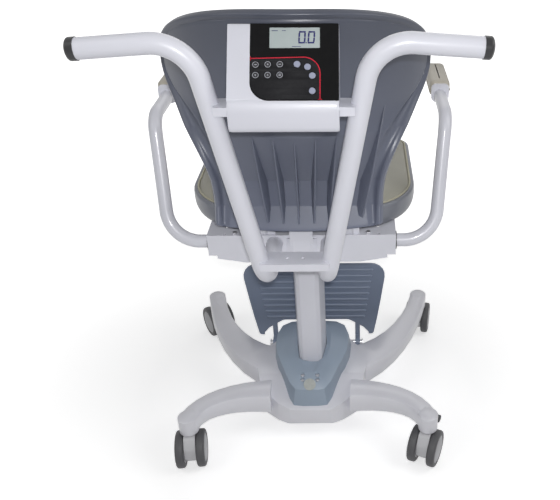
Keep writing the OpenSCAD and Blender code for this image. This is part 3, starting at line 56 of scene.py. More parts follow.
heading = Vector((
    math.sin(camera_yaw) * math.cos(camera_pitch),
    math.cos(camera_yaw) * math.cos(camera_pitch),
    -math.sin(camera_pitch),
))
level_right = heading.cross(Vector((0, 0, 1))).normalized()
level_up = level_right.cross(heading)
right = level_right * math.cos(camera_roll) + level_up * math.sin(camera_roll)
up = level_up * math.cos(camera_roll) - level_right * math.sin(camera_roll)
camera_data = bpy.data.cameras.new("camera")
camera_data.sensor_fit = "HORIZONTAL"
camera_data.angle = camera_angle
camera_data.shift_x, camera_data.shift_y = camera_shift
camera_data.clip_start = 0.05
camera = bpy.data.objects.new("camera", camera_data)
turn = Matrix((right, up, -heading)).transposed().to_4x4()
camera.matrix_world = Matrix.Translation(camera_place) @ turn
bpy.context.scene.collection.objects.link(camera)
bpy.context.scene.camera = camera
bpy.context.scene.view_settings.view_transform = "Standard"


# A flash just over the lens lights the chair from behind, and three large soft boxes fill it in.
# Two of them hang behind it, to its left and right, and one in front. The world around is white.
def soft_box(name, place, size, power):
    """A rectangular lamp at a place, turned towards the middle of the chair."""
    lamp = bpy.data.lights.new(name, "AREA")
    lamp.shape = "RECTANGLE"
    lamp.size, lamp.size_y = size
    lamp.energy = power
    stand = bpy.data.objects.new(name, lamp)
    aim = (chair_middle - Vector(place)).to_track_quat("-Z", "Y").to_matrix().to_4x4()
    stand.matrix_world = Matrix.Translation(Vector(place)) @ aim
    bpy.context.scene.collection.objects.link(stand)


chair_middle = Vector((0, 0, 0.5))
flash_over_lens = Vector((0.02, -0.05, 0.075))
soft_box("flash", camera_place + flash_over_lens, (0.05, 0.035), 10.0)
soft_box("box_left", (-1.6, -0.9, 2.3), (1.3, 1.3), 8)
soft_box("box_right", (1.8, -0.5, 2.2), (1.3, 1.3), 14)
soft_box("box_front", (0.2, 1.9, 2.0), (1.6, 1.2), 6)

world_light = 0.13
world = bpy.data.worlds.new("studio")
world.use_nodes = True
world_nodes = world.node_tree.nodes
world_nodes.clear()
world_path = world_nodes.new("ShaderNodeLightPath")
world_shown = world_nodes.new("ShaderNodeMath")
world_shown.operation = "MAXIMUM"
world_seen = world_nodes.new("ShaderNodeMath")
world_seen.operation = "MAXIMUM"
world_dim = world_nodes.new("ShaderNodeBackground")
world_dim.inputs["Strength"].default_value = world_light
world_white = world_nodes.new("ShaderNodeBackground")
world_mix = world_nodes.new("ShaderNodeMixShader")
world_out = world_nodes.new("ShaderNodeOutputWorld")
for colour in (world_dim, world_white):
    colour.inputs["Color"].default_value = (1, 1, 1, 1)
wire = world.node_tree.links.new
wire(world_path.outputs["Is Camera Ray"], world_shown.inputs[0])
wire(world_path.outputs["Is Glossy Ray"], world_shown.inputs[1])
wire(world_shown.outputs[0], world_seen.inputs[0])
wire(world_path.outputs["Is Transmission Ray"], world_seen.inputs[1])
wire(world_seen.outputs[0], world_mix.inputs[0])
wire(world_dim.outputs[0], world_mix.inputs[1])
wire(world_white.outputs[0], world_mix.inputs[2])
wire(world_mix.outputs[0], world_out.inputs[0])
bpy.context.scene.world = world

# The chair stands on a wide sheet of white paper, which keeps its soft shadow.
# The paper glows a little near the chair and more further off, so that it shows as white.
floor_half = 6.0
floor_lit = 0.45
floor_far_lift = 0.7
floor_lift_reach = (0.4, 1.5)
floor_mesh = bpy.data.meshes.new("floor")
floor_mesh.from_pydata(
    [(-floor_half, -floor_half, 0), (floor_half, -floor_half, 0),
     (floor_half, floor_half, 0), (-floor_half, floor_half, 0)],
    [], [(0, 1, 2, 3)],
)
floor = bpy.data.objects.new("floor", floor_mesh)
bpy.context.scene.collection.objects.link(floor)


# The steelwork is tubes and folded plates under a pale lavender-grey powder coat.
# The base is one casting under a like coat. The coat is satin, with the faint pebble of powder.
class Level:
    """A shader socket written as a number, so that sums and products of it read as plain Python."""

    def __init__(self, finish, socket):
        self.finish = finish
        self.socket = socket

    def math(self, operation, first, second=0.0):
        """One Math node on two levels or numbers."""
        return self.finish.node("ShaderNodeMath", {"operation": operation}, {0: first, 1: second})

    def __add__(self, other):
        return self.math("ADD", self, other)

    def __radd__(self, other):
        return self.math("ADD", other, self)

    def __sub__(self, other):
        return self.math("SUBTRACT", self, other)

    def __rsub__(self, other):
        return self.math("SUBTRACT", other, self)

    def __mul__(self, other):
        return self.math("MULTIPLY", self, other)

    def __rmul__(self, other):
        return self.math("MULTIPLY", other, self)

    def __truediv__(self, other):
        return self.math("DIVIDE", self, other)

    def __pow__(self, other):
        return self.math("POWER", self, other)

    def most(self, other):
        """The greater of two levels."""
        return self.math("MAXIMUM", self, other)

    def between(self, low, high):
        """0 at low, 1 at high, straight between them, and level outside."""
        return self.finish.node("ShaderNodeMapRange", {"clamp": True}, {
            "Value": self, "From Min": low, "From Max": high,
        })


class Finish:
    """A material in the making: one Principled shader, and node() for all that feeds it."""

    def __init__(self, name, **constants):
        self.material = bpy.data.materials.new(name)
        self.material.use_nodes = True
        self.tree = self.material.node_tree
        self.shader = self.tree.nodes["Principled BSDF"]
        for socket, value in constants.items():
            self.set(socket.replace("_", " "), value)

    def node(self, kind, settings=None, values=None, output=0):
        """Adds a node: its settings first, then the values or links of its sockets."""
        node = self.tree.nodes.new(kind)
        for key, value in (settings or {}).items():
            setattr(node, key, value)
        for socket, value in (values or {}).items():
            self.feed(node.inputs[socket], value)
        return Level(self, node.outputs[output])

    def feed(self, socket, value):
        """Links a level, or sets a number or a colour of three."""
        if isinstance(value, Level):
            self.tree.links.new(value.socket, socket)
        elif isinstance(value, (tuple, list)) and len(value) == 3 and socket.type == "RGBA":
            socket.default_value = (*value, 1)
        else:
            socket.default_value = value

    def set(self, socket, value):
        """Feeds one of the shader's own sockets."""
        self.feed(self.shader.inputs[socket], value)
        return self

    def place(self):
        """The object's own coordinates, in metres."""
        return self.node("ShaderNodeTexCoord", output="Object")

    def parts(self):
        """X, Y and Z of the object's own coordinates."""
        split = self.node("ShaderNodeSeparateXYZ", values={0: self.place()}).socket.node
        return [Level(self, split.outputs[k]) for k in range(3)]

    def noise(self, scale, detail=3.0):
        """Soft noise at so many cells a metre."""
        return self.node("ShaderNodeTexNoise", values={
            "Vector": self.place(), "Scale": scale, "Detail": detail,
        })

    def cells(self, scale):
        """Distance to the nearest of scattered points, for grain and pebble."""
        return self.node("ShaderNodeTexVoronoi", values={"Vector": self.place(), "Scale": scale})

    def blend(self, amount, low, high):
        """Colour between two colours."""
        return self.node(
            "ShaderNodeMix", {"data_type": "RGBA"}, {0: amount, 6: low, 7: high}, output=2,
        )

    def coloured(self, drift, low, high):
        """Base colour that drifts between two colours."""
        return self.set("Base Color", self.blend(drift, low, high))

    def dulled(self, rough, swing, scale, detail=3.0):
        """Roughness that rises from rough by up to swing, in soft noise."""
        return self.set("Roughness", rough + self.noise(scale, detail) * swing)

    def relief(self, height, depth, strength):
        """Bump of so many metres, fed to the shader's normal."""
        return self.set("Normal", self.node("ShaderNodeBump", values={
            "Height": height, "Distance": depth, "Strength": strength,
        }))


def shaded(colour, part):
    """The same colour, darker by a factor."""
    return tuple(c * part for c in colour)


def powder_coat(name, colour, rough):
    """Colour drifts a few percent at 120 mm, roughness at 25 mm, and a pebble stands at 1.2 mm."""
    coat = Finish(name, Coat_Weight=0.2, Coat_Roughness=0.12)
    coat.coloured(coat.noise(8.0).between(0.35, 0.65), shaded(colour, 0.955), colour)
    coat.dulled(rough, 0.10, 40.0)
    coat.relief(coat.noise(850.0, 2.0), 0.00006, 0.5)
    return coat.material


def dress(material, *nodes):
    """Gives the CAD nodes named a material on their own slots."""
    for node in nodes:
        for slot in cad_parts[node].material_slots:
            slot.link = "OBJECT"
            slot.material = material


def placed(name, mesh, material, body):
    """A smooth-shaded object of a mesh with its material, riding on its body."""
    mesh.materials.append(material)
    mesh.polygons.foreach_set("use_smooth", np.ones(len(mesh.polygons), dtype=bool))
    made = bpy.data.objects.new(name, mesh)
    bpy.context.scene.collection.objects.link(made)
    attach(made, body)
    return made


millimetres = 1000.0
weld = 1e-6
cad_weld = 2e-5
flat_within = math.radians(0.4)
bevel_steps = 3


def piece(name, points, faces, material, body, slot, crisp=None):
    """A surface from points in millimetres and its faces' corners, welded and turned outwards."""
    mesh = bpy.data.meshes.new(name)
    mesh.from_pydata((np.asarray(points) / millimetres).tolist(), [], faces)
    work = bmesh.new()
    work.from_mesh(mesh)
    bmesh.ops.remove_doubles(work, verts=work.verts, dist=weld)
    bmesh.ops.recalc_face_normals(work, faces=work.faces)
    work.to_mesh(mesh)
    work.free()
    made = placed(name, mesh, material, body)
    if crisp:
        mesh.set_sharp_from_angle(angle=math.radians(crisp))
    return made


def eased(node, material, width, body, crisp=34):
    """A copy of a CAD node with its flats joined and its edges rounded over by a bevel."""
    work = bmesh.new()
    work.from_mesh(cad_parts[node].data)
    bmesh.ops.remove_doubles(work, verts=work.verts, dist=cad_weld)
    bmesh.ops.dissolve_limit(
        work, angle_limit=flat_within, verts=work.verts, edges=work.edges,
    )
    corners = [tuple(v.co) for v in work.verts]
    work.verts.index_update()
    faces = [[v.index for v in face.verts] for face in work.faces]
    work.free()
    mesh = bpy.data.meshes.new(f"{node}_finished")
    mesh.from_pydata(corners, [], faces)
    made = placed(f"{node}_finished", mesh, material, body)
    round_over = made.modifiers.new("round_over", "BEVEL")
    round_over.width = width / millimetres
    round_over.segments = bevel_steps
    round_over.limit_method = "ANGLE"
    round_over.angle_limit = math.radians(crisp)
    round_over.harden_normals = True
    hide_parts(node)


paper = Finish("floor_paper", Roughness=0.9, Specular_IOR_Level=0.1)
paper.set("Base Color", (0.93, 0.93, 0.93)).set("Emission Strength", 1.0)
seen = paper.node("ShaderNodeLightPath", output="Is Camera Ray")
for ray in ("Is Glossy Ray", "Is Transmission Ray"):
    seen = seen.most(paper.node("ShaderNodeLightPath", output=ray))
floor_x, floor_y, _ = paper.parts()
far = ((floor_x * floor_x + floor_y * floor_y) ** 0.5).between(*floor_lift_reach)
paper.set("Emission Color", seen * (floor_lit + floor_far_lift * far))
floor.data.materials.append(paper.material)

lavender_white = powder_coat("lavender_white_powder_coat", (0.70, 0.705, 0.77), 0.30)
dress(
    lavender_white, "back_bracket", "handle_tube_left", "handle_tube_right", "footrest_hinge",
    "arm_tube_left", "arm_tube_right", "upper_crossbar", "lower_crossbar",
)
eased("column", lavender_white, 2.5, "chair", 20)
eased("seat_frame", lavender_white, 1.6, "chair")
casting_coat = powder_coat("base_casting_coat", (0.73, 0.73, 0.78), 0.26)
eased("base_frame", casting_coat, 3.5, "chair", 40)


# Bolts, screws and pins are zinc-plated steel, dulled on their flats by the spanner and driver.
# The load cell under the seat is a bare milled alloy bar.
def bare_metal(name, colour, rough):
    """Metal whose roughness drifts at 12 mm under a fine brushed grain."""
    metal = Finish(name, Metallic=0.9)
    metal.coloured(metal.noise(60.0), shaded(colour, 0.82), colour)
    metal.dulled(rough, 0.16, 90.0)
    metal.relief(metal.noise(1900.0, 2.0), 0.00002, 0.5)
    return metal.material


zinc = bare_metal("zinc_plated_steel", (0.62, 0.62, 0.64), 0.26)
dress(zinc, "cover_screws", "column_bolts", "indicator_screws", "footrest_pin", "frame_bolts")
dress(bare_metal("milled_alloy", (0.68, 0.69, 0.70), 0.34), "load_cell")


# The footrest is a plate of slate-grey satin plastic with a fine spark grain, hinged at the base.
# Its grip ribs are raised round-topped bars, moulded in one with the plate.
def share(low, high, value):
    """How far value lies from low to high, held between 0 and 1."""
    return np.clip((value - low) / (high - low), 0.0, 1.0)


def ease(t):
    """Level at 0 and 1, steepest half way: t squared times three less two t."""
    t = np.clip(t, 0.0, 1.0)
    return t * t * (3.0 - 2.0 * t)


def mix(low, high, t):
    """Low and high in the shares one less t and t."""
    return low + (high - low) * t


def grid_faces(rows, cols, wrap=False, first=0):
    """Corners of the quads of a grid of rows by cols points, wrapped round its columns or not."""
    across = cols if wrap else cols - 1
    row, col = np.meshgrid(np.arange(rows - 1), np.arange(across), indexing="ij")
    here = first + row * cols + col
    beside = first + row * cols + (col + 1) % cols
    return np.stack([here, beside, beside + cols, here + cols], -1).reshape(-1, 4).tolist()


def loft(rings):
    """Points and faces of a closed skin through rings of equal counts, flat at both ends."""
    rings = np.asarray(rings, dtype=float)
    rows, cols = rings.shape[:2]
    ends = [list(range(cols))[::-1], list(range((rows - 1) * cols, rows * cols))]
    return rings.reshape(-1, 3), grid_faces(rows, cols, wrap=True) + ends


def hooped(rings):
    """Points and faces of a closed skin through rings, of which the last joins the first."""
    rings = np.asarray(rings, dtype=float)
    rows, cols = rings.shape[:2]
    last = (rows - 1) * cols
    joint = [[last + k, last + (k + 1) % cols, (k + 1) % cols, k] for k in range(cols)]
    return rings.reshape(-1, 3), grid_faces(rows, cols, wrap=True) + joint


def two_sheets(rows, cols):
    """Faces of two like grids set back to back, the second one turned over."""
    behind = grid_faces(rows, cols, first=rows * cols)
    return grid_faces(rows, cols) + [corner[::-1] for corner in behind]


def gathered(parts):
    """Several skins as one set of points and faces."""
    points, faces, first = [], [], 0
    for some, corners in parts:
        points.append(some)
        faces += [[first + c for c in corner] for corner in corners]
        first += len(some)
    return np.concatenate(points), faces


def moulded(name, colour, rough, grain=0.00004, shine=0.4):
    """Colour drifts at 90 mm, roughness at 20 mm, and a fine grain stands at 0.7 mm."""
    plastic = Finish(name, Specular_IOR_Level=shine)
    plastic.coloured(plastic.noise(11.0).between(0.35, 0.65), shaded(colour, 0.93), colour)
    plastic.dulled(rough, 0.08, 50.0)
    plastic.relief(plastic.noise(1400.0, 2.0), grain, 0.6)
    return plastic.material


column_y = -52.0
hinge_z, plate_length = 52.0, 226.0
near_half, far_half, rib_margin = 140.0, 176.0, 31.0
footrest_slate = moulded("footrest_slate_plastic", (0.20, 0.24, 0.325), 0.34)
eased("footrest_panel", footrest_slate, 1.8, "footrest")
rib_rows = 9
rib_low_z, rib_high_z = 124.0, 262.0
rib_face_y = column_y + 212.0
rib_half, rib_rise, rib_end = 4.0, 3.2, 5.0
rib_steps, rib_turns, rib_tip = 41, 16, 0.0004


def rib(height):
    """A bar with a half-round section, which shrinks to nothing over its two rounded ends."""
    plate_half = mix(near_half, far_half, ((height - hinge_z) / plate_length) ** 0.8)
    reach = plate_half - rib_margin
    along = reach * np.sin(np.linspace(-1, 1, rib_steps) * np.pi / 2)
    past = np.clip((np.abs(along) - reach + rib_end) / rib_end, 0, 1)
    girth = np.sqrt(np.clip(1.0 - past ** 2, rib_tip, 1))
    turn = np.linspace(0, 2 * np.pi, rib_turns, endpoint=False)
    across = rib_half * np.outer(girth, np.cos(turn))
    out = rib_rise * np.outer(girth, np.sin(turn))
    x = np.broadcast_to(along[:, None], out.shape)
    return loft(np.stack([x, rib_face_y - out, height + across], -1))


ribs = gathered([rib(z) for z in np.linspace(rib_low_z, rib_high_z, rib_rows)])
piece("footrest_ribs", *ribs, footrest_slate, "footrest", "slate_plastic")


# The backrest shell is one moulding: its wall rolls into a rounded bead round its top and sides.
# A shallow channel runs inside the bead, and seven fins stiffen the hollow at its foot.
shell_foot_z, shell_height = 548.0, 397.0
shell_ahead, shell_lean = -106.0, 8.0
kink_low, kink_mid, kink_high = 592, 640, 733
hollow_low, hollow_mid = 19.5, 4.5
bow_radius, bow_foot_z, bow_rise, least_bend = 284.0, 610.0, 170.0, 1e-5
foot_half, full_half, waist_z, waist_rise = 154.0, 240.0, 600.0, 230.0
top_z, top_crown, corner_drop = 945.0, 10.0, 105.0


def bowed(x, z):
    """How far ahead of the column the shell's rear face lies, and its bend, which is 1 / radius.

    An arc across, radius less the root of radius squared less x squared, stands on a line
    that leans rearwards with height and swells forwards over the foot.
    """
    lean = shell_ahead - shell_lean * ease((z - shell_foot_z) / shell_height)
    hollow = (
        hollow_low * share(shell_foot_z, kink_low, z) + hollow_mid * share(kink_low, kink_mid, z)
        - (hollow_low + hollow_mid) * share(kink_mid, kink_high, z)
    )
    bend = np.maximum(ease((z - bow_foot_z) / bow_rise) / bow_radius, least_bend)
    radius = 1.0 / bend
    return lean + hollow + radius - np.sqrt(np.maximum(1.0, radius ** 2 - x ** 2)), bend


def half_width(z):
    """Half the width of the shell: 154 at the foot, eased out to 240 by a height of 830."""
    return mix(foot_half, full_half, ease(np.maximum(0.0, (z - waist_z) / waist_rise) ** 1.15))


def shell_top(s):
    """Height of the top edge: nearly level, then falling 105 round a cubic corner."""
    round_off = np.maximum(0.0, 1.0 - np.abs(s) ** 3) ** (1 / 3)
    return top_z - top_crown * s ** 2 - corner_drop * (1.0 - round_off)


shell_cols = 181
shell_s = np.sin(np.linspace(-1, 1, shell_cols) * np.pi / 2)
foot_shares = 1.0 - np.cos(np.linspace(0, 1, 9) * np.pi / 2)
near_kink = np.linspace(-5, 5, 9)
level_rows = np.unique(np.concatenate([
    np.linspace(575, 776, 68), kink_low + near_kink, kink_mid + near_kink, kink_high + near_kink,
]))
top_shares = np.sin(np.linspace(0, 1, 64)[1:] * np.pi / 2)
foot_line = shell_foot_z + 12.0 * shell_s ** 2
shell_z = np.concatenate([
    mix(foot_line, 570.0, foot_shares[:, None]),
    np.broadcast_to(level_rows[:, None], (len(level_rows), shell_cols)),
    mix(776.0, shell_top(shell_s), top_shares[:, None])[1:],
])
shell_x = shell_s * half_width(shell_z)


def developed(x, z):
    """Distance across the shell along its arc: the arc's angle at x, divided by its bend."""
    bend = bowed(x, z)[1]
    return np.arcsin(np.clip(x * bend, -1, 1)) / bend


def edge_distance(x, z):
    """Distance to the shell's top and side edges, measured over its developed face."""
    side_z = np.linspace(556, 845, 150)
    edge_x = np.concatenate([-half_width(side_z), full_half * shell_s, half_width(side_z)])
    edge_z = np.concatenate([side_z, shell_top(shell_s), side_z])
    flat_x, flat_edge = developed(x, z), developed(edge_x, edge_z)
    gaps = [
        np.min(np.hypot(flat_x[k][:, None] - flat_edge, z[k][:, None] - edge_z), axis=1)
        for k in range(len(x))
    ]
    return np.array(gaps)


bead_width, bead_rise, groove_depth, wall = 13.0, 4.2, 1.3, 4.0
shell_d = edge_distance(shell_x, shell_z)
shell_d[:, [0, -1]] = 0.0
shell_d[-1, :] = 0.0
bead = -bead_rise * np.sin(np.pi * np.clip(shell_d / bead_width, 0, 1) ** 0.8) ** 1.2
groove = groove_depth * np.exp(-((shell_d - bead_width - 1.2) / 1.5) ** 2)
channel_width = mix(24.0, 1.0, ease(share(715, 840, shell_z)))
channel_width = channel_width * mix(0.6, 1.0, share(560, 640, shell_z))
crease_at = bead_width + channel_width
channel_share = np.clip((shell_d - bead_width) / (crease_at - bead_width), 0, 1)
channel_depth = 5.0 * (1.0 - ease(share(770, 850, shell_z)))
channel = channel_depth * np.sin(np.pi * channel_share ** 0.7)
rear = bead + groove * ease(share(760, 860, shell_z)) + channel
foot_gap = np.maximum(0.0, shell_z - foot_line)
edge_round, foot_round, edge_out, least_wall = 4.0, 5.0, 1.0, 1.8
roll_depth, roll_width = 6.0, 14.0
closing = np.sqrt(1.0 - (1.0 - np.clip(shell_d / edge_round, 0, 1)) ** 2)
closing *= np.sqrt(1.0 - (1.0 - np.clip(foot_gap / foot_round, 0, 1)) ** 2)
front = np.maximum(wall, rear + least_wall)
roll = roll_depth * np.clip(1.0 - shell_d / roll_width, 0, 1) ** 2


def off_bow(x, z, out):
    """Points that stand off the shell's rear face by out, forwards along its own normal."""
    ahead, bend = bowed(x, z)
    turn = np.arcsin(np.clip(x * bend, -1, 1))
    return np.stack(
        [x - out * np.sin(turn), column_y + ahead + out * np.cos(turn), z], -1,
    ).reshape(-1, 3)


fin_steps, fin_half, fin_in_wall, heel_ahead = 28, 1.8, 1.5, -102.5


def fin(top_x, top_z, foot_x, foot_z, splay, bow, side):
    """A plate with a round outer edge, from an edge that bows rearwards to 1.5 inside the wall."""
    t = np.linspace(0, 1, fin_steps)[:, None]
    x, z = mix(foot_x, top_x, t) * side, mix(foot_z, top_z, t)
    head = bowed(top_x, top_z)[0] - 0.4
    heel = heel_ahead + max(0.0, bowed(foot_x, foot_z)[0] - bowed(0.0, foot_z)[0])
    ahead = mix(heel, head, t) - 4.0 * bow * t * (1.0 - t)
    inward_x = -math.sin(math.radians(splay)) * side
    inward_y = math.cos(math.radians(splay))
    depth = np.zeros_like(x)
    for _ in range(8):
        depth = np.maximum(0.0, (bowed(x + inward_x * depth, z)[0] - ahead) / inward_y)
    depth = np.maximum(depth + fin_in_wall, fin_half + 0.1)
    round_edge = np.linspace(-np.pi / 2, np.pi / 2, 9)
    across = np.concatenate([[-fin_half], fin_half * np.sin(round_edge), [fin_half]])
    deep = np.concatenate([[1.0], np.zeros(9), [1.0]]) * depth
    deep = deep + np.concatenate([[0.0], fin_half * (1.0 - np.cos(round_edge)), [0.0]])
    ring = [
        x + inward_x * deep + inward_y * across,
        column_y + ahead + inward_y * deep - inward_x * across,
        np.broadcast_to(z, deep.shape),
    ]
    return loft(np.stack(ring, -1))


middle_fin = (0, 722, 0, 562, 0, 0, 1)
paired_fins = (
    (37, 728, 29, 563, 16, 1), (74, 737, 57, 565, 21, 4), (157, 775, 117, 575, 36, 15),
)
fins = [middle_fin] + [(*ends, side) for ends in paired_fins for side in (-1, 1)]
shell_skin = np.concatenate([
    off_bow(shell_x, shell_z, edge_out + closing * (sheet - edge_out) + roll)
    for sheet in (rear, front)
])
shell_plastic = Finish("shell_slate_plastic", Specular_IOR_Level=0.4)
shell_mottle = shell_plastic.noise(11.0).between(0.3, 0.7) * 0.1
# Painted light and shade: the shell's colour runs lighter towards its foot and darker towards its
# top, for the light and reflections that fall there; the soft mottle is the plastic's own.
painted_shade_up_the_shell = shell_plastic.parts()[2].between(0.56, 0.90)
shell_plastic.coloured(
    painted_shade_up_the_shell * 0.9 + shell_mottle, (0.150, 0.165, 0.222), (0.070, 0.077, 0.102),
)
shell_plastic.dulled(0.3, 0.08, 50.0)
shell_plastic.relief(shell_plastic.noise(1400.0, 2.0), 0.00003, 0.6)
shell_sheets = (shell_skin, two_sheets(len(shell_z), shell_cols))
shell = piece(
    "shell_with_fins", *gathered([shell_sheets] + [fin(*ends) for ends in fins]),
    shell_plastic.material, "chair", "slate_plastic", 50,
)
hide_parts("backrest_shell")


# The seat is a deep pan moulded in slate plastic, with a foam cushion under beige vinyl in it.
# A pale welt is sewn round the cushion where it meets the rim of the pan.
def rounded_ring(half_x, low_y, high_y, rear_radius, front_radius, inset, z, corner=14):
    """A rectangle with round corners, drawn in by inset; the corners keep at least 3 of radius."""
    turn = np.linspace(0, np.pi / 2, corner)
    ring = []
    for quarter, (sx, sy, radius) in enumerate((
        (1, 1, front_radius), (-1, 1, front_radius), (-1, -1, rear_radius), (1, -1, rear_radius),
    )):
        r = max(3.0, radius - inset)
        centre_x = sx * (half_x - inset - r)
        centre_y = (high_y - inset - r) if sy > 0 else (low_y + inset + r)
        angle = turn + quarter * np.pi / 2
        arc = np.stack([centre_x + r * np.cos(angle), centre_y + r * np.sin(angle)], -1)
        ring.append(arc)
        following = ((-1, 1), (-1, -1), (1, -1), (1, 1))[quarter]
        next_radius = max(3.0, (front_radius if following[1] > 0 else rear_radius) - inset)
        next_centre = np.array([
            following[0] * (half_x - inset - next_radius),
            (high_y - inset - next_radius) if following[1] > 0 else (low_y + inset + next_radius),
        ])
        start = next_centre + next_radius * np.array([
            math.cos((quarter + 1) * math.pi / 2), math.sin((quarter + 1) * math.pi / 2),
        ])
        ring.append(mix(arc[-1], start, np.linspace(0, 1, 18)[1:-1, None]))
    flat = np.concatenate(ring)
    return np.column_stack([flat, np.full(len(flat), z)])


def smoothed(profile, between=5):
    """A Catmull-Rom curve through a list of points, so many steps between each pair."""
    p = np.asarray(profile, dtype=float)
    p = np.vstack([2 * p[0] - p[1], p, 2 * p[-1] - p[-2]])
    t = np.linspace(0, 1, between, endpoint=False)[:, None]
    spans = [
        0.5 * (
            2 * b + (c - a) * t + (2 * a - 5 * b + 4 * c - d) * t ** 2
            + (3 * b - a - 3 * c + d) * t ** 3
        )
        for a, b, c, d in zip(p, p[1:], p[2:], p[3:])
    ]
    return np.vstack(spans + [p[-2:-1]])


def vinyl(name, colour):
    """Leather-grained vinyl: cells of 2 mm, fine creases, and a colour that drifts a little."""
    skin = Finish(name, Specular_IOR_Level=0.35)
    skin.coloured(skin.noise(9.0).between(0.35, 0.65), shaded(colour, 0.93), colour)
    skin.dulled(0.42, 0.12, 30.0)
    skin.relief(skin.cells(520.0) + skin.noise(160.0) * 0.8, 0.00016, 0.55)
    return skin.material


seat_low, seat_high = column_y - 54.0, column_y + 300.0
seat_shape = (222.0, seat_low, seat_high, 126.0, 42.0)
pan_profile = smoothed([
    (20, 518), (9, 521), (3, 529), (0, 542), (0, 560), (1, 564), (3, 566), (6.5, 566), (8, 564),
    (8, 542), (13, 528), (24, 522),
], 3)
pan_slate = moulded("pan_slate_plastic", (0.19, 0.20, 0.23), 0.32)
pan = piece(
    "moulded_pan", *loft([rounded_ring(*seat_shape, inset, z) for inset, z in pan_profile]),
    pan_slate, "chair", "slate_plastic", 60,
)
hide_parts("seat_pan")
beige = vinyl("beige_vinyl", (0.35, 0.34, 0.29))
cushion_profile = smoothed([
    (26.3, 522.3), (14.3, 529.3), (9.2, 544.3), (9.8, 561), (11.8, 567), (17.3, 571.2),
    (26.3, 574.7), (42.3, 577.8), (66.3, 580.4), (98.3, 582), (130, 582.8), (165, 583),
], 4)
cushion = piece(
    "sewn_seat_cushion",
    *loft([rounded_ring(*seat_shape, inset, z) for inset, z in cushion_profile]),
    beige, "chair", "beige_vinyl", 70,
)
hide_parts("seat_cushion")


def welt(path, radius):
    """A round cord along a closed level path: a circle carried on its side and up axes."""
    path = np.asarray(path)
    along = np.roll(path, -1, axis=0) - np.roll(path, 1, axis=0)
    along /= np.linalg.norm(along, axis=1, keepdims=True)
    up = np.array([0.0, 0.0, 1.0])
    side = np.cross(along, up)
    turn = np.linspace(0, 2 * np.pi, 10, endpoint=False)
    return hooped(path[:, None] + radius * (
        side[:, None] * np.cos(turn)[:, None] + up * np.sin(turn)[:, None]
    ))


pale_welt = vinyl("pale_welt_vinyl", (0.44, 0.42, 0.32))
welt_inset, welt_z, welt_radius = 9.2, 567.0, 2.1
seat_welt = piece(
    "seat_welt", *welt(rounded_ring(*seat_shape, welt_inset, welt_z), welt_radius), pale_welt,
    "chair", "beige_vinyl",
)


# The back pad is one piece of foam under the same vinyl, held to the front of the shell.
# It follows the shell's bow and outline, fills its hollow and swells a little at the loins.
pad_margin, pad_gap, pad_edge, pad_thickness, pad_lumbar = 16.0, 1.5, 8.0, 30.0, 10.0
pad_steps = 121
pad_q = np.linspace(-1, 1, pad_steps)
pad_s = np.sign(pad_q) * (1.0 - (1.0 - np.abs(pad_q)) ** 1.6)
pad_t = 0.5 + 0.5 * pad_s
grid_s, grid_t = np.meshgrid(pad_s, pad_t)
pad_foot = 594.0 + 8.0 * grid_s ** 2
pad_top = shell_top(0.94 * grid_s) - pad_margin
pad_z = mix(pad_foot, pad_top, grid_t)
pad_x = grid_s * (half_width(pad_z) - pad_margin)
grid_v = 2 * grid_t - 1
pad_round = np.sqrt(np.clip(1 - grid_s ** 6, 0, 1)) * np.sqrt(np.clip(1 - grid_v ** 6, 0, 1))
shell_line = shell_ahead - shell_lean * ease((pad_z - shell_foot_z) / shell_height)
pad_hollow = bowed(0 * pad_x, pad_z)[0] - shell_line
pad_swell = pad_lumbar * ease((pad_z - 560.0) / 60.0) * ease((760.0 - pad_z) / 110.0)
pad_full = pad_thickness + pad_swell - pad_hollow
pad_back_out = np.full_like(pad_x, wall + pad_gap)
pad_front_out = pad_back_out + (pad_edge + (pad_full - pad_edge) * pad_round) * np.sqrt(
    np.clip(1 - grid_s ** 24, 0, 1) * np.clip(1 - grid_v ** 24, 0, 1)
)
pad_skin = np.concatenate([
    off_bow(pad_x, pad_z, out) for out in (pad_back_out, pad_front_out)
])
back_pad = piece(
    "sewn_back_pad", pad_skin, two_sheets(pad_steps, pad_steps), beige, "chair", "beige_vinyl", 70,
)
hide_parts("back_pad")


# Each armrest carries a long foam pad under paler beige vinyl, which lies along its tube.
# A thin cord runs round the lower part of the pad, over the seam.
arm_shape = (21.0, -67.0, 67.0, 12.0, 12.0)
arm_x, arm_ahead, arm_corner = 276.0, 233.0, 8
arm_seam_z, arm_cord = 721.0, 1.1
arm_beige = vinyl("arm_pad_vinyl", (0.50, 0.465, 0.40))
arm_profile = smoothed([
    (3, 711), (0.6, 714), (0, 718), (0, 724), (0.4, 732), (2.0, 737.6), (5.4, 740.2), (9.5, 741.2),
    (14, 741.6), (19, 741.8),
], 4)
for side_name, side in (("left", -1), ("right", 1)):
    arm_middle = np.array([side * arm_x, column_y + arm_ahead, 0.0])
    rings = arm_middle + np.array([
        rounded_ring(*arm_shape, inset, z, arm_corner) for inset, z in arm_profile
    ])
    pad = piece(
        f"arm_pad_{side_name}_sewn", *loft(rings), arm_beige,
        f"{side_name}_armrest", "beige_vinyl", 70,
    )
    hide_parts(f"arm_pad_{side_name}")
    seam = rounded_ring(*arm_shape, -0.2, arm_seam_z, arm_corner) + arm_middle
    edge_welt = piece(
        f"arm_welt_{side_name}", *welt(seam, arm_cord), arm_beige,
        f"{side_name}_armrest", "beige_vinyl",
    )


# The display unit is a painted steel case, bent over in a roll at its foot.
# Its face is a glossy black printed plate let into the case, with a liquid-crystal display in it.
face_low_y, face_low_z = column_y - 256.0, 851.0
face_slope = math.radians(52.0)
rise_y, rise_z = math.cos(face_slope), math.sin(face_slope)


def on_face(u, v, w):
    """The display face's own axes: u across, v up its slope, w out of it."""
    u, v, w = np.broadcast_arrays(u, v, w)
    return np.stack([
        u, face_low_y + v * rise_y - w * rise_z, face_low_z + v * rise_z + w * rise_y,
    ], -1)


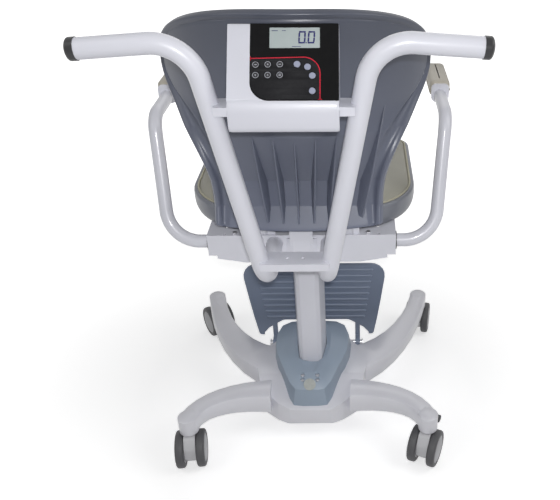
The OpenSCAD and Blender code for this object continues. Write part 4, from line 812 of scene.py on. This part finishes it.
def prism(outline, low, high, chamfer=0.0):
    """A plate on the display face: its outline from low to high, drawn in above by a chamfer."""
    outline = np.asarray(outline, dtype=float)
    rings = [on_face(outline[:, 0], outline[:, 1], w) for w in (low, high - chamfer)]
    if chamfer:
        step = outline.mean(axis=0) - outline
        drawn = outline + step / np.linalg.norm(step, axis=1, keepdims=True) * chamfer
        rings.append(on_face(drawn[:, 0], drawn[:, 1], high))
    return loft(rings)


def pierced(outline, holes, low, high):
    """A plate on the display face with holes: both flats tessellated, a wall on every loop."""
    loops = [np.asarray(loop, dtype=float) for loop in [outline, *holes]]
    flat = np.concatenate(loops)
    count = len(flat)
    corners = tessellate_polygon([[Vector((x, y, 0)) for x, y in loop] for loop in loops])
    faces = [list(corner) for corner in corners]
    faces += [[c + count for c in corner[::-1]] for corner in corners]
    first = 0
    for loop in loops:
        here = first + np.arange(len(loop))
        beside = np.roll(here, -1)
        faces += np.stack([here, beside, count + beside, count + here], -1).tolist()
        first += len(loop)
    points = [on_face(flat[:, 0], flat[:, 1], w) for w in (low, high)]
    return np.concatenate(points), faces


def disc(u, v, radius, low, high, chamfer=0.0, turns=40):
    """A round plate on the display face."""
    turn = np.linspace(0, 2 * np.pi, turns, endpoint=False)
    edge = np.column_stack([u + radius * np.cos(turn), v + radius * np.sin(turn)])
    return prism(edge, low, high, chamfer)


def ribbon(path, half, low, high, closed=False):
    """A flat strip on the display face, so wide to each side of a path."""
    path = np.asarray(path, dtype=float)
    if closed:
        along = np.roll(path, -1, axis=0) - np.roll(path, 1, axis=0)
    else:
        along = np.gradient(path, axis=0)
    along /= np.linalg.norm(along, axis=1, keepdims=True)
    side = np.column_stack([-along[:, 1], along[:, 0]]) * half
    corners = [(path - side, low), (path - side, high), (path + side, high), (path + side, low)]
    rings = np.stack([on_face(p[:, 0], p[:, 1], w) for p, w in corners], 1)
    return hooped(rings) if closed else loft(rings)


def arc(u, v, radius, start, stop, steps=16):
    """Points of an arc, from start to stop in degrees."""
    turn = np.radians(np.linspace(start, stop, steps))
    return np.column_stack([u + radius * np.cos(turn), v + radius * np.sin(turn)])


def glazed(
    name, colours, shine, drift, rough, swing, dulling, grain, depth, strength=0.3, detail=3.0,
):
    """Film or glass whose colour, roughness and grain each drift at a scale of their own."""
    glass = Finish(name, Specular_IOR_Level=shine)
    glass.coloured(glass.noise(drift, 2.0).between(0.3, 0.7), *colours)
    glass.dulled(rough, swing, dulling, detail)
    glass.relief(glass.noise(grain, 2.0), depth, strength)
    return glass.material


case_paint = powder_coat("indicator_case_paint", (0.64, 0.645, 0.71), 0.36)
eased("indicator_housing", case_paint, 2.2, "chair", 24)
ring_places = [
    (-38.4, 53.0), (-20.8, 53.3), (-3.3, 53.5), (-38.4, 37.3), (-20.8, 37.4), (-3.4, 37.5),
]
solid_places = [(21.5, 53.7), (36.7, 49.7), (43.6, 36.5), (43.5, 13.7)]
cap_radius, hole_radius = 4.8, 5.05
key_holes = [arc(u, v, hole_radius, 0, 351, 40) for u, v in ring_places + solid_places]
plate_outline = np.concatenate([
    arc(-47.0 + 28.0, -1.0 + 28.0, 28.0, 180, 270), arc(82 - 1.5, 0.5, 1.5, 270, 360, 5),
    arc(82 - 1.5, 114.0, 1.5, 0, 90, 5), arc(-47 + 1.5, 114.0, 1.5, 90, 180, 5),
])
film = glazed(
    "printed_face_film", ((0.0045, 0.0045, 0.005), (0.006, 0.006, 0.0065)),
    shine=0.1, drift=90.0, rough=0.10, swing=0.08, dulling=120.0, grain=500.0, depth=0.00002,
)
corner_fill = np.concatenate([arc(-19.0, 27.0, 28.2, 180, 270), [(-46.9, -0.8)]])
piece("case_corner", *prism(corner_fill, -1.6, 0.03), case_paint, "chair", "housing_paint", 30)
lip_profile = smoothed([
    (1.5, 851.2), (-0.6, 849.9), (-3.2, 846.9), (-5.4, 841.6), (-6.7, 835.0), (-7.0, 826.0),
    (-6.8, 816.0), (-5.8, 808.6), (-3.2, 803.8), (1.0, 802.4), (5.6, 803.0), (5.8, 830.0),
], 5)
lip_x = np.array([-80.2, -79.8, -79.0, -77.6, -75.5, 77.5, 79.6, 81.0, 81.8, 82.2])
lip_shrink = np.array([3.2, 1.9, 1.0, 0.35, 0.0, 0.0, 0.35, 1.0, 1.9, 3.2])[:, None]
lip_centre = np.array([1.0, 829.0])
lip_inward = lip_centre - lip_profile
lip_inward /= np.linalg.norm(lip_inward, axis=1, keepdims=True)
lip_rings = lip_profile + lip_shrink[..., None] * lip_inward
lip_rings = np.concatenate([
    np.broadcast_to(lip_x[:, None, None], (len(lip_x), len(lip_profile), 1)),
    lip_rings[..., :1] + face_low_y, lip_rings[..., 1:],
], -1)
piece("rolled_lip", *loft(lip_rings), case_paint, "chair", "housing_paint", 70)
plate = piece(
    "display_face_film", *pierced(plate_outline, key_holes, -1.5, 0.2), film,
    "chair", "display", 40,
)
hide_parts("indicator_panel")
backing = moulded("window_backing", (0.02, 0.02, 0.022), 0.5)
backing_outline = [(-44.8, 4.2), (78.8, 4.2), (78.8, 113.3), (-44.8, 113.3)]
piece("window_backing", *prism(backing_outline, -2.6, -1.6), backing, "chair", "display")

key_field = glazed(
    "printed_key_field", ((0.017, 0.017, 0.019), (0.021, 0.021, 0.023)),
    shine=0.08, drift=200.0, rough=0.55, swing=0.1, dulling=150.0, grain=2200.0, depth=0.00002,
    strength=0.5,
)
line_path = np.concatenate([
    mix(np.array([-46.4, 62.4]), np.array([30.0, 64.2]), np.linspace(0, 1, 24)[:, None]),
    arc(30.5, 40.0, 24.2, 90, 0, 20)[1:],
    mix(np.array([54.7, 40.0]), np.array([54.7, 0.7]), np.linspace(0, 1, 14)[1:, None]),
])
field_outline = np.concatenate([line_path, arc(-46.4 + 27.0, 0.7 + 27.0, 27.0, 270, 180, 14)])
piece(
    "key_field_print", *pierced(field_outline, key_holes, 0.12, 0.28), key_field,
    "chair", "display",
)
red = moulded("printed_red_line", (0.60, 0.02, 0.045), 0.5, shine=0.2)
print_low, print_high = 0.2, 0.4
strokes = [ribbon(line_path, 0.75, print_low, print_high)] + [
    ribbon(tick, 0.5, print_low, print_high)
    for tick in ([(-46.0, 59.5), (-46.0, 65.5)], [(51.8, 1.0), (57.6, 1.0)])
]
piece("printed_red_line", *gathered(strokes), red, "chair", "display")

lcd_glass = glazed(
    "lcd_glass", ((0.36, 0.41, 0.41), (0.40, 0.45, 0.45)),
    shine=0.4, drift=40.0, rough=0.16, swing=0.06, dulling=200.0, grain=900.0, depth=0.00001,
    detail=2.0,
)
lcd_u, lcd_v, lcd_w, lcd_h, lcd_rim = -18.5, 78.0, 73.0, 31.0, 3.0


def lcd_outline(rim, r):
    """The display's rectangle, grown by a rim, with corners of radius r."""
    u0, v0, u1, v1 = lcd_u - rim, lcd_v - rim, lcd_u + lcd_w + rim, lcd_v + lcd_h + rim
    return np.concatenate([
        arc(u0 + r, v0 + r, r, 180, 270, 5), arc(u1 - r, v0 + r, r, 270, 360, 5),
        arc(u1 - r, v1 - r, r, 0, 90, 5), arc(u0 + r, v1 - r, r, 90, 180, 5),
    ])


lcd = piece(
    "lcd_window",
    *gathered([
        prism(lcd_outline(0.0, 1.2), 0.1, 0.34, 0.1),
        prism(lcd_outline(lcd_rim, 1.0), -6.5, -1.6),
    ]),
    lcd_glass, "chair", "display", 40,
)
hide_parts("lcd_module")
ink = moulded("lcd_ink", (0.03, 0.03, 0.14), 0.4, shine=0.2)
digit_slant, digit_high, digit_wide, stroke = 0.06, 16.4, 8.2, 1.2
ink_low, ink_high = 0.3, 0.38


def digit(u, v, segments):
    """Seven bars, a to g, of which those named show, leaning right by a share of height."""
    half, w, h = digit_high / 2, digit_wide, digit_high
    bars = {
        "a": ((-0.6, h), (w + 0.6, h)), "d": ((-0.6, 0), (w + 0.6, 0)),
        "g": ((1.2, half), (w - 1.2, half)),
        "f": ((0, half + 0.4), (0, h - 1.4)), "e": ((0, 1.4), (0, half - 0.4)),
        "b": ((w, half + 0.4), (w, h - 1.4)), "c": ((w, 1.4), (w, half - 0.4)),
    }
    return [
        ribbon([(u + x + digit_slant * y, v + y) for x, y in bars[name]], stroke, ink_low, ink_high)
        for name in segments
    ]


marks = digit(24.0, 86.0, "abcdef") + digit(37.6, 86.0, "abcdef")
marks += [disc(34.6, 85.9, 1.1, ink_low, ink_high, turns=12)]
marks += [ribbon([(u, v), (u + wide, v)], 0.45, 0.3, 0.37) for u, v, wide in (
    (-15.5, 104.2, 9.0), (-0.5, 104.4, 5.5), (14.0, 80.2, 13.0),
)]
piece("lcd_digits", *gathered(marks), ink, "chair", "display")


# The keys are flat moulded caps with a chamfered edge: six dark with a pale ring, four pale blue.
# Each stands a little proud of its hole in the face, and its print rides with it when pressed.
key_charcoal = moulded("key_charcoal", (0.022, 0.022, 0.025), 0.36)
key_pale = moulded("key_pale_blue", (0.30, 0.32, 0.42), 0.34)
key_print = moulded("key_grey_print", (0.40, 0.41, 0.46), 0.4)
ring_radius = 4.15
mark_low, mark_high, wedge_radius = 0.55, 0.72, 1.7


def bar_mark(u, v, half, shift=0.0):
    """A level bar through the key's middle, or shifted up or down from it."""
    return [ribbon([(u - half, v + shift), (u + half, v + shift)], 0.5, mark_low, mark_high)]


def wedge_mark(u, v, first):
    """A triangle on a circle, its corners a third of a turn apart from the first angle."""
    turn = np.radians(first + np.array([0, 120, 240]))
    corners = [u + wedge_radius * np.cos(turn), v + wedge_radius * np.sin(turn)]
    return [prism(np.column_stack(corners), mark_low, mark_high)]


pointing_up, pointing_down = 90, 270
symbols = [
    lambda u, v: bar_mark(u, v, 1.9),
    lambda u, v: wedge_mark(u, v, pointing_up),
    lambda u, v: bar_mark(u, v, 1.9),
    lambda u, v: wedge_mark(u, v, pointing_down),
    lambda u, v: wedge_mark(u, v, pointing_up),
    lambda u, v: bar_mark(u, v, 1.7, 1.0) + bar_mark(u, v, 1.7, -1.0),
]


def key_cap(node, u, v, high, chamfer, plastic):
    """A round cap from under the face up to high, standing for its CAD key."""
    cap = piece(
        f"{node}_dome", *disc(u, v, cap_radius, -0.4, high, chamfer), plastic,
        f"{node}_cap", "key_plastic", 40,
    )
    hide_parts(node)


for k, (u, v) in enumerate(ring_places):
    node = f"ring_key_{k + 1}"
    key_cap(node, u, v, 0.62, 0.3, key_charcoal)
    ring = ribbon(arc(u, v, ring_radius, 0, 354, 60), 0.35, 0.5, mark_high, closed=True)
    piece(
        f"{node}_print", *gathered([ring] + symbols[k](u, v)), key_print,
        f"{node}_cap", "key_plastic",
    )
for k, (u, v) in enumerate(solid_places):
    key_cap(f"solid_key_{k + 1}", u, v, 0.66, 0.35, key_pale)


# Each castor is a light grey housing with twin wheels, a swivel stem and a dark brake pedal.
# The wheels are hard dark tyres on grey hubs, with a smooth bulged cap on the outer side.
castor_grey = moulded("castor_grey_plastic", (0.58, 0.58, 0.60), 0.36)
hub_grey = moulded("hub_grey_plastic", (0.40, 0.40, 0.42), 0.38)
tyre_grey = moulded("tyre_dark_rubber", (0.085, 0.085, 0.09), 0.5, 0.00006)
pedal_dark = moulded("pedal_dark_plastic", (0.05, 0.05, 0.055), 0.36)
wheel_turns = 72
tyre_profile = [
    (29.5, 0.6), (31.0, 0.2), (35.0, 0.0), (37.4, 0.7), (39.1, 2.2), (39.9, 4.6), (40.0, 9.0),
    (39.9, 13.4), (39.1, 15.8), (37.4, 17.3), (35.0, 18.0), (31.0, 18.0), (29.5, 17.4),
]
hub_profile = [
    (0.0, 0.6), (24.0, 0.6), (28.0, 0.3), (29.6, 0.9), (29.6, 16.9), (28.4, 17.0), (27.2, 17.7),
    (25.6, 18.2), (20.0, 18.9), (12.0, 19.3), (5.0, 19.5), (0.0, 19.5),
]


def turned(profile, centre, outward, corner_yaw):
    """A profile of radius and depth turned round a level axle, its deep side outward."""
    profile = np.asarray(profile, dtype=float)
    turn = np.linspace(0, 2 * np.pi, wheel_turns, endpoint=False)
    axle = np.array([math.cos(corner_yaw), math.sin(corner_yaw), 0.0]) * outward
    level = np.array([-math.sin(corner_yaw), math.cos(corner_yaw), 0.0])
    radius, depth = profile[:, 0], profile[:, 1]
    upright = np.array([0.0, 0.0, 1.0])
    round_about = np.cos(turn)[:, None] * level + np.sin(turn)[:, None] * upright
    rings = centre + depth[:, None, None] * axle + radius[:, None, None] * round_about
    if radius[0] > 0:
        return hooped(rings)
    return rings.reshape(-1, 3), grid_faces(len(profile), wheel_turns, wrap=True)


castor_trail, axle_z, wheel_inner_face = 11.0, 40.0, 12.5
castors = {
    "rear_left": ((-253.0, -134.0), 6.0), "rear_right": ((253.0, -134.0), -23.0),
    "front_left": ((-263.0, 311.0), 213.0), "front_right": ((263.0, 311.0), 169.0),
}
for corner, ((swivel_x, swivel_ahead), yaw_degrees) in castors.items():
    yaw = math.radians(yaw_degrees)
    trail = np.array([math.sin(yaw), -math.cos(yaw)]) * castor_trail
    axle_place = np.array([swivel_x + trail[0], column_y + swivel_ahead + trail[1], axle_z])
    axle_line = np.array([math.cos(yaw), math.sin(yaw), 0.0])
    for half in ("outer", "inner"):
        node = f"wheel_{corner}_{half}"
        low, high = (np.array(box_corner) * millimetres for box_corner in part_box(node))
        outward = 1.0 if np.dot((low + high) / 2 - axle_place, axle_line) > 0 else -1.0
        wheel_place = (axle_place + axle_line * outward * wheel_inner_face, outward, yaw)
        body = f"roller_{corner}_{half}"
        tyre = piece(
            f"{node}_tyre", *turned(tyre_profile, *wheel_place), tyre_grey, body, "tyre", 50,
        )
        piece(
            f"{node}_hub", *turned(hub_profile, *wheel_place), hub_grey,
            body, "caster_grey", 40,
        )
        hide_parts(node)
    eased(f"caster_housing_{corner}", castor_grey, 1.6, f"caster_{corner}")
    eased(f"caster_pedal_{corner}", pedal_dark, 1.2, f"pedal_{corner}")


# A blue-grey moulded cover hides the column's foot, held by four screws. A bubble level is let in.
# Dark caps close the handlebar's ends; the stems, board and battery are bought parts.
cover_blue = moulded("cover_blue_grey_plastic", (0.31, 0.375, 0.46), 0.36)
eased("base_cover", cover_blue, 3.0, "chair", 24)
bubble = glazed(
    "bubble_level_green", ((0.38, 0.40, 0.38), (0.44, 0.46, 0.44)),
    shine=0.6, drift=150.0, rough=0.2, swing=0.1, dulling=200.0, grain=700.0, depth=0.00001,
    detail=2.0,
)
dress(bubble, "bubble_level")
dark_cap = moulded("dark_cap_plastic", (0.022, 0.022, 0.024), 0.28)
dress(dark_cap, "handle_caps", "arm_bushes")
dress(moulded("stem_steel_grey", (0.3, 0.3, 0.32), 0.3), "caster_stems")
dress(moulded("green_board", (0.02, 0.10, 0.04), 0.4), "indicator_board")
dress(moulded("battery_wrap", (0.05, 0.06, 0.12), 0.4), "battery_pack")
